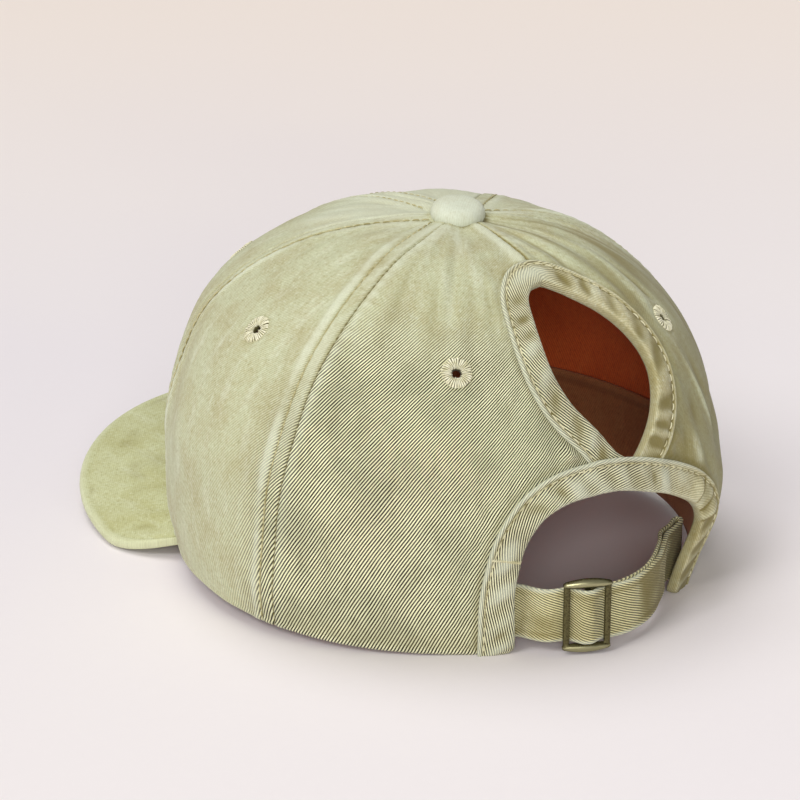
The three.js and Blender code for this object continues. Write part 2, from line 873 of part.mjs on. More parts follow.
function strapFrame(share) {
  const point = strapLine(share);
  const along = strapLine(share + 0.01).sub(strapLine(share - 0.01)).normalize();
  const out = new THREE.Vector3(along.y, -along.x, 0);
  return { point, along, out };
}

// A point beside the buckle: along the strap and out from it
function bucklePoint(along, out) {
  const frame = strapFrame(buckleShare);
  return frame.point.clone().addScaledVector(frame.along, along).addScaledVector(frame.out, out);
}

function strapRoute() {
  const behind = -(buckleBarDepth / 2 + clearance + strapThickness / 2);
  const front = -behind;
  const barInner = buckleWidth / 2 - buckleBarWidth;
  const centre = buckleCentreBarWidth / 2;
  const layerGap = strapThickness + clearance;
  const turnGap = layerGap + strapTurnRoom;
  const route = [
    footPoint(-1, strapTuck, strapDepth),
    footPoint(-1, strapTuck / 2, strapDepth),
    leftFoot.clone(),
    bucklePoint(-buckleWidth * 0.8, behind),
    bucklePoint(-barInner - buckleBarWidth / 2, behind),
    bucklePoint(-barInner + 0.1, behind * 0.95),
    bucklePoint(-(barInner + centre) / 2, 0),
    bucklePoint(-centre - 0.2, front * 0.95),
    bucklePoint(0, front),
    bucklePoint(centre + 0.2, front * 0.95),
    bucklePoint((barInner + centre) / 2, 0),
    bucklePoint(barInner - 0.1, behind * 0.95),
    bucklePoint(barInner + buckleBarWidth / 2, behind),
  ];
  const outerShares = [0.45, 0.55, 0.65, 0.75, 0.85, 0.94];
  const innerDepth = strapDepth - turnGap;
  for (const share of outerShares) route.push(strapFrame(share).point);
  route.push(rightFoot.clone());
  route.push(footPoint(1, strapTuck / 2, strapDepth));
  route.push(footPoint(1, strapTuck, strapDepth));
  route.push(footPoint(1, strapTuck + turnGap / 2, strapDepth - turnGap / 2));
  route.push(footPoint(1, strapTuck, innerDepth));
  route.push(footPoint(1, strapTuck / 2, innerDepth));
  route.push(footPoint(1, -strapExit, innerDepth));
  for (const share of outerShares.slice().reverse()) {
    const frame = strapFrame(share);
    route.push(frame.point.addScaledVector(frame.out, -layerGap));
  }
  route.push(bucklePoint(barInner + buckleBarWidth, behind - layerGap));
  route.push(bucklePoint(0, behind - layerGap));
  return new THREE.CatmullRomCurve3(route, false, "centripetal");
}

function buildStrap() {
  const curve = strapRoute();
  const samples = curve.points.length * 2;
  const left = [];
  const right = [];
  for (let index = 0; index <= samples; index += 1) {
    const point = curve.getPoint(index / samples);
    const along = curve.getTangent(index / samples);
    const aside = new THREE.Vector2(-along.y, along.x).setLength(strapThickness / 2);
    left.push(new THREE.Vector2(point.x + aside.x, point.y + aside.y));
    right.push(new THREE.Vector2(point.x - aside.x, point.y - aside.y));
  }
  const outline = new THREE.Shape([...left, ...right.reverse()]);
  const upright = { depth: strapHeight, bevelEnabled: false, steps: 1 };
  const ribbon = new THREE.ExtrudeGeometry(outline, upright);
  const strap = addMesh("strap", tidy(ribbon), "strap");
  strap.position.z = strapLift;
}

function tidy(geometry) {
  geometry.deleteAttribute("normal");
  geometry.deleteAttribute("uv");
  return mergeVertices(geometry, weldDistance);
}

// The frame of the buckle: domed at its top and foot, with a window on each side of its middle bar
function buckleOutline() {
  const halfWidth = buckleWidth / 2;
  const shoulder = buckleHeight / 2 - buckleDome;
  const corner = buckleDome + 1;
  const domeFoot = shoulder + 0.5 * buckleDome;
  const domeTop = shoulder + 1.5 * buckleDome;
  const outline = new THREE.Shape();
  outline.moveTo(halfWidth, -shoulder + corner);
  outline.lineTo(halfWidth, shoulder - corner);
  outline.quadraticCurveTo(halfWidth, shoulder, halfWidth - corner, domeFoot);
  outline.quadraticCurveTo(0, domeTop, -halfWidth + corner, domeFoot);
  outline.quadraticCurveTo(-halfWidth, shoulder, -halfWidth, shoulder - corner);
  outline.lineTo(-halfWidth, -shoulder + corner);
  outline.quadraticCurveTo(-halfWidth, -shoulder, -halfWidth + corner, -domeFoot);
  outline.quadraticCurveTo(0, -domeTop, halfWidth - corner, -domeFoot);
  outline.quadraticCurveTo(halfWidth, -shoulder, halfWidth, -shoulder + corner);
  return outline;
}

function buildBuckle() {
  const plate = new THREE.ExtrudeGeometry(buckleOutline(), {
    depth: buckleBarDepth, bevelEnabled: false, steps: 1, curveSegments: 5,
  });
  plate.translate(0, 0, -buckleBarDepth / 2);
  const windowWidth = buckleWidth / 2 - buckleBarWidth - buckleCentreBarWidth / 2;
  const windows = [-1, 1].map((side) => {
    const box = new THREE.BoxGeometry(windowWidth, strapHeight + 2 * clearance, 2 * buckleBarDepth);
    return box.translate((side * (windowWidth + buckleCentreBarWidth)) / 2, 0, 0);
  });
  const buckle = addMesh("slide_buckle", cut(tidy(plate), windows), "brass");
  const frame = strapFrame(buckleShare);
  const up = new THREE.Vector3(0, 0, 1);
  const basis = new THREE.Matrix4().makeBasis(frame.along, up, frame.along.clone().cross(up));
  buckle.quaternion.setFromRotationMatrix(basis);
  buckle.position.copy(frame.point).setZ(strapLift + strapHeight / 2);
}

buildCrown();
buildHoleBinding(buildArchBinding());
buildSweatband();
buildBrim();
buildButton();
buildStrap();
buildBuckle();

// The origin is under the middle of the cap, on the floor
cap.updateMatrixWorld(true);
const box = new THREE.Box3().setFromObject(cap);
const middle = box.getCenter(new THREE.Vector3());
for (const mesh of cap.children) {
  mesh.position.sub(new THREE.Vector3(middle.x, middle.y, box.min.z));
}

export default cap;
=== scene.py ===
# Ponytail baseball cap in washed sage twill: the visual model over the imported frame.
# Shapes are worked out in millimetres in the crown's own frame: the brim points to -Y and the
# wearer's left is +X. Each mesh is then made in metres in the part's frame.

import math

import bpy
import numpy as np
from mathutils import Matrix, Vector


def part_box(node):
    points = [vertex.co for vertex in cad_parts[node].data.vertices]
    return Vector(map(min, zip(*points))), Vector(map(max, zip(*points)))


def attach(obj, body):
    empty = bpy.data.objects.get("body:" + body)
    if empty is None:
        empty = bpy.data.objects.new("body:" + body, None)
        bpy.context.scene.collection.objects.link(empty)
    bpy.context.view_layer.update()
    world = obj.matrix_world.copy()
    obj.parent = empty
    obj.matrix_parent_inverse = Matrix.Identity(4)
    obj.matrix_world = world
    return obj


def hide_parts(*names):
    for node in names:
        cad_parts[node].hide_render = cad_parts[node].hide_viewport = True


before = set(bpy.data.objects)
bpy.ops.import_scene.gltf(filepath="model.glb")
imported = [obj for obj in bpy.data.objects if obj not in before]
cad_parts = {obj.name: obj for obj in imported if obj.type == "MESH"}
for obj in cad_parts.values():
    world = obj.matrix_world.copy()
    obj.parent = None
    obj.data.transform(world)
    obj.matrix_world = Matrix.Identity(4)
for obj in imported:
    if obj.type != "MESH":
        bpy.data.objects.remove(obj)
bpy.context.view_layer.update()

# Crown sizes
CROWN_HALF_WIDTH = 88.0
CROWN_FRONT_REACH = 88.4
CROWN_BACK_REACH = 82.5
CROWN_HEIGHT = 112.7
CROWN_LEAN = 6.9
CLOTH = 1.2  # thickness of the crown's wall
LINING_GAP = 0.5
CLEARANCE = 0.3

# Crown outline, by evenly spaced levels from the hem to the top
LEVEL_HEIGHT = (0, 0.12, 0.26, 0.41, 0.56, 0.7, 0.82, 0.91, 0.967, 0.993, 1)
LEVEL_FRONT = (1, 1.02, 1.034, 1.04, 1.025, 0.969, 0.815, 0.625, 0.422, 0.207, 0.02)
LEVEL_BACK = (1, 1.024, 1.038, 1.028, 0.964, 0.854, 0.715, 0.553, 0.365, 0.182, 0.02)
LEVEL_SIDE = (1, 1.034, 1.042, 1.037, 0.977, 0.882, 0.738, 0.572, 0.397, 0.197, 0.02)

# Dents and swells: turn, height share, length, width, slant in degrees, depth (inward is positive)
DENTS = (
    (226, 0.45, 0.15, 0.05, 70, 0.03),
    (208, 0.28, 0.17, 0.15, 80, -0.045),
    (156, 0.05, 0.12, 0.12, 0, -0.014),
    (148, 0.86, 0.16, 0.03, 4, 0.008),
    (94, 0.74, 0.2, 0.05, 20, 0.01),
    (60, 0.5, 0.22, 0.07, -15, 0.012),
    (262, 0.62, 0.2, 0.06, 25, 0.014),
    (330, 0.6, 0.22, 0.08, -20, 0.01),
)
GIRTH_SCALE = 0.75

# Seams: turn at the hem, turn at the top, bow
MIDDLE_SEAM = (0, 0, 0)
FRONT_SEAM = (52, 60, 0)
BACK_SEAM = (105, 124, 2.5)
SEAM_SPREAD_POWER = 4
PANEL_TOP_SHARE = 0.9985
PANEL_GAP = 0.08  # between two panels, so that they don't touch
CROWN_RUN = 165.0  # length over the cloth from the hem to the top

# Floor and hem lines
HEM_FLAT_REACH = 70.0
HEM_BLEND_HEIGHT = 0.35
HEM_SQUARE_SHARE = 0.08

# Brim
BRIM_LENGTH = 58.0
BRIM_HALF_WIDTH = 87.5
BRIM_CORNER_HALF_WIDTH = 74.0
BRIM_THICKNESS = 2.8
BRIM_ARCH = 8.0
BRIM_ROUNDNESS = 2.3
BRIM_CORNER_LENGTH = 26.0

# Ponytail hole
HOLE_TURN = 183.0
HOLE_HALF_WIDTH = 19.0
HOLE_BOTTOM = 0.49
HOLE_TOP = 0.92
HOLE_BAND = 9.5
HOLE_HEIGHT = (0, 0.09, 0.24, 0.4, 0.55, 0.7, 0.83, 0.93, 0.985, 1)
HOLE_LEFT = (0, 0.34, 0.62, 0.92, 1.03, 1.01, 0.9, 0.74, 0.5, 0.24)
HOLE_RIGHT = (0, 0.3, 0.73, 1, 1.05, 0.86, 0.54, 0.15, -0.12, -0.24)

# Arch opening
ARCH_TURN = 179.3
ARCH_HALF_WIDTH = 34.5
ARCH_TOP = 0.432
ARCH_BAND = 11.8
ARCH_BAND_TOP = 10.0
ARCH_HEIGHT = (0, 0.2, 0.4, 0.58, 0.72, 0.83, 0.92, 0.98, 1)
ARCH_LEFT = (1, 1.05, 1.08, 1.06, 1.02, 0.94, 0.81, 0.58, 0.26)
ARCH_RIGHT = (0.97, 1, 1.04, 1.03, 0.9, 0.64, 0.3, -0.02, -0.26)
PLEAT_COUNT = 3
PLEAT_RISE = 2.1
PLEAT_LENGTH = 4.3
PLEAT_START = 0.717
BINDING_INNER_LEG = 5.0
ARCH_CORNER = 3.2  # radius of the lower corners of the arch's feet
TRIM_REACH = 3  # how far a panel's points move to meet the edge of a hole in it
CLOTH_EDGE = 2.2  # how far the panels' cut edge lies back from an opening's edge
BAND_OVERLAP = 2.5  # how far the hole's binding runs in under the arch's
BELOW_HEM = -0.05  # share of the crown at which the arch's outline is closed

# Sweatband, button, eyelets
SWEATBAND_THICKNESS = 1.2
SWEATBAND_HEIGHT = 30.0
SWEATBAND_HEM_STEP = 0.6
BUTTON_RADIUS = 8.6
BUTTON_TIP = (0.09, 0.12, 0)  # how far it leans towards the wearer's back and left
BUTTON_SHIFT = (0.5, 0.7, -0.8)  # from the middle between the crown's two top points
EYELET_RADIUS = 4.5
EYELET_CUT = 2.1  # radius of the hole in the cloth under it
EYELET_HEIGHT = 0.76
EYELET_TURNS = {"front": 27, "side": 83.5, "back": 143.5}

# Strap and slide buckle
STRAP_HEIGHT = 17.5
STRAP_THICKNESS = 1.2
STRAP_LIFT = 4.0
STRAP_BULGE = 19.5
STRAP_TUCK = 13.0
STRAP_TURN_ROOM = 0.6
STRAP_EXIT = 1.0
STRAP_BOW = (0, 0.6, 0.9, 1, 0.97, 0.86, 0.64, 0.34, 0)
BUCKLE_SHARE = 0.225
BUCKLE_WIDTH = 15.0
BUCKLE_BAR = 2.2
BUCKLE_CENTRE_BAR = 1.8
BUCKLE_DEPTH = 1.6

# Sewing
SEAM_STITCH = 4.6  # distance of the sewn row from its seam
SEAM_DASH = 2.4  # from one dark gap in a seam to the next
STITCH_LENGTH = 2.4
STITCH_GAP = 0.7
BAND_STITCH = 1.75  # distance of the sewn row from a binding's sewn edge
BAND_STITCH_LIFT = 0.86
BAND_STITCH_LENGTH = 2.5
BAND_STITCH_GAP = 0.75
THREAD_RADIUS = 0.23
BAR_TACK_HEIGHT = 31.5
BAR_TACK_STITCHES = 26
BAR_TACK_THREAD = 0.15
BAR_TACK_LIFT = 1.4
BAR_TACK_REACH = 3  # steps of the arch's edge from its middle to each side
WEAVE_PITCH = 0.75  # from one rib of the twill to the next
WEAVE_THREAD = 0.9  # length of the short threads along a rib
THREAD_TWIST = 0.55  # length of one twist of the sewing thread
TWILL_DEPTH = 0.0002  # of the surface's bumps, in metres
SMOOTH_CLOTH_DEPTH = 0.0001
LINING_WEAVE = 0.3  # how plainly the lining's ribs show
RIB_LEAN = 43  # of the ribs on the upper crown, in degrees
RIB_LEAN_LOW = 24  # of the ribs at the hem, where they run more steeply

SEED = 11
TURN = 2 * math.pi


# Small helpers

def mix(low, high, share):
    return low + (high - low) * share


def smooth(value, low, high):
    share = np.clip((value - low) / (high - low), 0, 1)
    return share * share * (3 - 2 * share)


def bell(value, centre, width):
    return np.exp(-(((value - centre) / width) ** 2))


def unit(vectors):
    return vectors / np.maximum(np.linalg.norm(vectors, axis=-1, keepdims=True), 1e-12)


def table_value(values, share):
    """A smooth curve through evenly spaced values."""
    values = np.asarray(values, float)
    last = len(values) - 1
    place = np.clip(share, 0, 1) * last
    index = np.minimum(np.floor(place).astype(int), last - 1)
    part = place - index
    here = values[index]
    following = values[index + 1]
    before = np.where(index > 0, values[np.maximum(index - 1, 0)], 2 * here - following)
    after = np.where(index + 2 <= last, values[np.minimum(index + 2, last)], 2 * following - here)
    bend = 2 * before - 5 * here + 4 * following - after
    twist = 3 * (here - following) + after - before
    return here + 0.5 * part * (following - before + part * (bend + part * twist))


NOISE_SIZE = 64
NOISE_TABLE = np.random.default_rng(SEED).random((NOISE_SIZE, NOISE_SIZE))


def soft_noise(x, y, layer=0):
    """Smooth noise from -1 to 1, about one bump to a unit."""
    x = np.asarray(x, float) + 7.31 * layer
    y = np.asarray(y, float) + 3.17 * layer
    column = np.floor(x).astype(int)
    row = np.floor(y).astype(int)
    across = smooth(x - column, 0, 1)
    up = smooth(y - row, 0, 1)

    def pick(right, above):
        return NOISE_TABLE[(row + above) % NOISE_SIZE, (column + right) % NOISE_SIZE]

    low = mix(pick(0, 0), pick(1, 0), across)
    high = mix(pick(0, 1), pick(1, 1), across)
    return 2 * mix(low, high, up) - 1


# Floor and hem lines

def hem_reach_at(x):
    return -CROWN_FRONT_REACH * np.sqrt(np.clip(1 - (x / CROWN_HALF_WIDTH) ** 2, 0, 1))


def arch_at(x):
    return BRIM_ARCH * (1 - (x / BRIM_CORNER_HALF_WIDTH) ** 2)


def brim_outer_edge(share):
    """The brim's outer edge in plan, for shares from -1 to 1 across it."""
    angle = share * math.pi / 2
    power = 2 / BRIM_ROUNDNESS
    corner_reach = hem_reach_at(BRIM_CORNER_HALF_WIDTH)
    length = BRIM_LENGTH + CROWN_FRONT_REACH + corner_reach
    y = corner_reach - length * np.abs(np.cos(angle)) ** power
    wide = BRIM_HALF_WIDTH * np.abs(np.sin(angle)) ** power
    forward = np.clip((corner_reach - y) / BRIM_CORNER_LENGTH, 0, 1)
    swing = 1 - (1 - forward) ** 2
    x = mix(np.minimum(wide, BRIM_CORNER_HALF_WIDTH), wide, swing) * np.sign(share)
    return np.stack([x, y], -1)


BRIM_WIDEST = brim_outer_edge(np.linspace(-1, 1, 33))[:, 0].max()
BRIM_DROP = CLEARANCE + BRIM_THICKNESS - arch_at(BRIM_WIDEST)
FLOOR_SLOPE = BRIM_DROP / (HEM_FLAT_REACH - hem_reach_at(BRIM_WIDEST))


def floor_lift(y):
    return FLOOR_SLOPE * np.maximum(0, HEM_FLAT_REACH - y)


# Crown surface: turn goes round from the front by the wearer's left, share goes up from the hem

def dent_depth(turn, height):
    depth = 0
    for dent_turn, dent_height, length, width, slant, deep in DENTS:
        around = np.radians((turn - dent_turn + 180) % 360 - 180) * GIRTH_SCALE
        up = height - dent_height
        lean = math.radians(slant)
        along = up * math.cos(lean) + around * math.sin(lean)
        across = around * math.cos(lean) - up * math.sin(lean)
        depth = depth + deep * np.exp(-((along / length) ** 2) - (across / width) ** 2)
    return depth * CROWN_HEIGHT


def crown_point(turn, share):
    turn, share = np.broadcast_arrays(np.asarray(turn, float), np.asarray(share, float))
    angle = np.radians(turn)
    side = table_value(LEVEL_SIDE, share)
    front_reach = CROWN_FRONT_REACH * table_value(LEVEL_FRONT, share)
    back_reach = CROWN_BACK_REACH * table_value(LEVEL_BACK, share)
    reach = np.where(np.cos(angle) > 0, front_reach, back_reach)
    height = table_value(LEVEL_HEIGHT, share)
    shrink = 1 - dent_depth(turn, height) / CROWN_HALF_WIDTH
    x = CROWN_HALF_WIDTH * side * np.sin(angle) * shrink
    y = -reach * np.cos(angle) * shrink + CROWN_LEAN * height
    fade = np.maximum(0, 1 - height / HEM_BLEND_HEIGHT) ** 2
    rise = np.where(y < 0, np.maximum(0, arch_at(x)), 0)
    z = CROWN_HEIGHT * height + floor_lift(y) + fade * rise
    return np.stack([x, y, z], -1)


def turn_slope(turn, share, step=0.2):
    return (crown_point(turn + step, share) - crown_point(turn - step, share)) / (2 * step)


def share_slope(turn, share, step=0.002):
    low = np.maximum(0, share - step)
    high = np.minimum(1, share + step)
    return (crown_point(turn, high) - crown_point(turn, low)) / np.asarray(high - low)[..., None]


def crown_normal(turn, share):
    share = np.asarray(share, float)
    normal = unit(-np.cross(share_slope(turn, share), turn_slope(turn, share)))
    normal[..., 2] *= np.clip(share / HEM_SQUARE_SHARE, 0, 1)
    return unit(normal)


def layer_point(turn, share, depth):
    """A point at a depth outside (+) or inside (-) the crown's outer face."""
    depth = np.asarray(depth, float)
    return crown_point(turn, share) + crown_normal(turn, share) * depth[..., None]


FINE_SHARES = np.linspace(0, 1, 4001)


def share_at_height(height):
    return np.interp(height, table_value(LEVEL_HEIGHT, FINE_SHARES), FINE_SHARES)


def radius_at(share):
    return CROWN_HALF_WIDTH * table_value(LEVEL_SIDE, share)


# Paths on the crown

def run_along(points):
    """The length of a line of points up to each one of them."""
    return np.concatenate([[0], np.cumsum(np.linalg.norm(np.diff(points, axis=0), axis=1))])


class Path:
    """A line on the crown with its sideways direction, which points away from the hollow."""

    def __init__(self, turn, share, closed=False):
        self.turn = turn
        self.share = share
        point = crown_point(turn, share)
        if closed:
            before, after = np.roll(point, 1, 0), np.roll(point, -1, 0)
        else:
            before = np.concatenate([point[:1], point[:-1]])
            after = np.concatenate([point[1:], point[-1:]])
        self.sideways = unit(np.cross(crown_normal(turn, share), unit(after - before)))
        self.length = run_along(point)
        self.place = self.length / self.length[-1]
        around = turn_slope(turn, share)
        upward = share_slope(turn, share)
        aa = (around * around).sum(-1)
        uu = (upward * upward).sum(-1)
        au = (around * upward).sum(-1)
        a = (around * self.sideways).sum(-1)
        u = (upward * self.sideways).sum(-1)
        spread = aa * uu - au * au
        self.turn_rate = (a * uu - u * au) / spread
        self.share_rate = (u * aa - a * au) / spread

    def beside(self, distance):
        """Turn and share at a distance sideways; distance holds one row for each step."""
        turn = self.turn[:, None] + distance * self.turn_rate[:, None]
        share = self.share[:, None] + distance * self.share_rate[:, None]
        return turn, np.maximum(0, share)

    def part(self, kept):
        return Path(self.turn[kept], self.share[kept])

    def points(self):
        return crown_point(self.turn, self.share)

    def values(self, table):
        """Evenly spaced values, read off at each step of the path."""
        return np.interp(self.place, np.linspace(0, 1, len(table)), table)


def outline(heights, left, right, turn, half_width, bottom, top, count):
    """The turns and shares of an opening's edge: up its left side and down its right side."""
    place = np.linspace(0, 1, count)
    share = share_at_height(mix(bottom, top, table_value(heights, place)))
    scale = np.degrees(half_width / radius_at(share))
    up = turn - scale * table_value(left, place)
    down = turn + scale * table_value(right, place)
    turns = np.concatenate([up, down[::-1][1:]])
    shares = np.concatenate([share, share[::-1][1:]])
    return turns, shares


def even_path(turns, shares, spacing):
    """The same line with steps of an even length."""
    point = crown_point(turns, shares)
    run = np.concatenate([[0], np.cumsum(np.linalg.norm(np.diff(point, axis=0), axis=1))])
    places = np.linspace(0, run[-1], int(run[-1] / spacing) + 1)
    return Path(np.interp(places, run, turns), np.interp(places, run, shares))


PATH_STEP = 0.5
HOLE_EDGE = even_path(
    *outline(HOLE_HEIGHT, HOLE_LEFT, HOLE_RIGHT, HOLE_TURN, HOLE_HALF_WIDTH, HOLE_BOTTOM, HOLE_TOP, 160),
    PATH_STEP,
)
ARCH_EDGE = even_path(
    *outline(ARCH_HEIGHT, ARCH_LEFT, ARCH_RIGHT, ARCH_TURN, ARCH_HALF_WIDTH, 0, ARCH_TOP, 200),
    PATH_STEP,
)


def arch_band_width(path):
    height = table_value(LEVEL_HEIGHT, path.share)
    return mix(ARCH_BAND, ARCH_BAND_TOP, np.clip(height / ARCH_TOP, 0, 1))


def inside(turn, share, loop_turn, loop_share):
    """Which points lie inside a closed loop of turns and shares."""
    found = np.zeros(np.shape(turn), bool)
    ends = zip(loop_turn, loop_share, np.roll(loop_turn, -1), np.roll(loop_share, -1))
    for start_turn, start_share, end_turn, end_share in ends:
        crosses = (start_share > share) != (end_share > share)
        rise = end_share - start_share
        if abs(rise) < 1e-12:
            continue
        reach = start_turn + (share - start_share) * (end_turn - start_turn) / rise
        found ^= crosses & (turn < reach)
    return found


def loop_beside(path, distance, floor=None):
    """A closed loop at a distance from a path; an open one is closed below the hem."""
    turn, share = path.beside(np.full((len(path.turn), 1), float(distance)))
    turn, share = turn[:, 0], share[:, 0]
    if floor is None:
        return turn, share
    return (
        np.concatenate([[turn[0]], turn, [turn[-1]]]),
        np.concatenate([[floor], share, [floor]]),
    )


def nearest_distance(points, line):
    """How far each point lies from the nearest point of a line."""
    nearest = np.full(len(points), np.inf)
    for start in range(0, len(line), 40):
        offsets = points[:, None, :] - line[None, start:start + 40, :]
        nearest = np.minimum(nearest, np.linalg.norm(offsets, axis=2).min(1))
    return nearest


# Meshes

# The crown's frame in the part's frame
PART_SHIFT = np.array([0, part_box("brim")[0].y * 1000 + CROWN_FRONT_REACH + BRIM_LENGTH, 0])


def signed_volume(points, faces):
    total = 0
    for face in faces:
        corners = points[np.asarray(face)]
        for second in range(1, face.shape[1] - 1):
            cross = np.cross(corners[:, second], corners[:, second + 1])
            total += (corners[:, 0] * cross).sum()
    return total


def make_piece(name, points, faces, materials, layers=None, maps=None, indices=None):
    """One closed mesh from arrays of faces, turned outward, riding on the cap."""
    faces = [np.asarray(group) for group in faces if len(group)]
    if signed_volume(points, faces) < 0:
        faces = [group[:, ::-1] for group in faces]
    used = np.unique(np.concatenate([group.ravel() for group in faces]))
    order = np.zeros(len(points), int)
    order[used] = np.arange(len(used))
    mesh = bpy.data.meshes.new(name)
    corners = [row for group in faces for row in order[group].tolist()]
    mesh.from_pydata(((points[used] + PART_SHIFT) * 0.001).tolist(), [], corners)
    for material in materials:
        mesh.materials.append(material)
    if indices is not None:
        slots = np.concatenate([np.full(len(group), index) for group, index in zip(faces, indices)])
        mesh.polygons.foreach_set("material_index", slots.astype(np.int32))
    mesh.polygons.foreach_set("use_smooth", np.ones(len(mesh.polygons), bool))
    loop_points = np.zeros(len(mesh.loops), np.int32)
    mesh.loops.foreach_get("vertex_index", loop_points)
    for map_name, values in (maps or {}).items():
        layer = mesh.uv_layers.new(name=map_name)
        layer.data.foreach_set("uv", values[used][loop_points].astype(np.float32).ravel())
    for layer_name, values in (layers or {}).items():
        layer = mesh.attributes.new(layer_name, "FLOAT", "POINT")
        layer.data.foreach_set("value", values[used].astype(np.float32))
    mesh.update()
    piece = bpy.data.objects.new(name, mesh)
    bpy.context.scene.collection.objects.link(piece)
    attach(piece, "root")
    return piece


def ring_angles(count):
    return np.arange(count) * TURN / count


def grid_quads(rows, columns):
    """The quads of a grid of points in rows."""
    start = (np.arange(rows - 1)[:, None] * columns + np.arange(columns - 1)[None, :]).ravel()
    return np.stack([start, start + 1, start + columns + 1, start + columns], 1)


def wall_faces(quads, count):
    """A closed wall: its outer quads, its inner quads and the rim along each open edge."""
    edges = np.concatenate([quads[:, [side, (side + 1) % 4]] for side in range(4)])
    forward = edges[:, 0] * (2 * count) + edges[:, 1]
    backward = edges[:, 1] * (2 * count) + edges[:, 0]
    rim = edges[~np.isin(forward, backward)]
    rim_quads = np.stack([rim[:, 1], rim[:, 0], rim[:, 0] + count, rim[:, 1] + count], 1)
    return quads, quads[:, ::-1] + count, rim_quads


def tube_faces(sections, sides, closed=False):
    """The faces of a swept solid whose sections are rings of points."""
    rings = np.arange(sections if closed else sections - 1)
    here = rings[:, None] * sides + np.arange(sides)[None, :]
    beyond = ((rings + 1) % sections)[:, None] * sides + np.arange(sides)[None, :]
    quads = np.stack([here, np.roll(here, -1, 1), np.roll(beyond, -1, 1), beyond], -1).reshape(-1, 4)
    if closed:
        return [quads]
    first = np.arange(sides)[None, ::-1]
    last = (sections - 1) * sides + np.arange(sides)[None, :]
    return [quads, first, last]


def coordinates(first, second):
    return np.stack([first, second], -1).reshape(-1, 2)


def weave_maps(along, across, angle):
    """Cloth coordinates in millimetres, and the same turned so that x runs across the ribs."""
    lean = np.radians(angle)
    ribs = along * np.sin(lean) - across * np.cos(lean)
    threads = along * np.cos(lean) + across * np.sin(lean)
    return {"Cloth": coordinates(along, across), "Weave": coordinates(ribs, threads)}


def crown_maps(across, run):
    """The same for a crown panel, whose ribs bend down towards the hem without breaking."""
    runs = np.linspace(0, 200, 401)
    lean = np.radians(mix(RIB_LEAN_LOW, RIB_LEAN, smooth(runs, 8, 85)))
    climb = np.cumsum(np.tan(lean)) * (runs[1] - runs[0]) * math.cos(math.radians(RIB_LEAN))
    ribs = np.interp(run, runs, climb) - across * math.cos(math.radians(RIB_LEAN))
    threads = across * math.sin(math.radians(RIB_LEAN)) + run * math.cos(math.radians(RIB_LEAN))
    return {"Cloth": coordinates(across, run), "Weave": coordinates(ribs, threads)}


def on_both_faces(values):
    """Layers or maps of a wall whose inner face has the same values as its outer one."""
    return {name: np.concatenate([value, value]) for name, value in values.items()}


# Materials

def colour(red, green, blue):
    """A linear colour from its screen values, 0 to 255."""
    values = []
    for value in (red, green, blue):
        share = value / 255
        values.append(share / 12.92 if share <= 0.04045 else ((share + 0.055) / 1.055) ** 2.4)
    return (*values, 1)


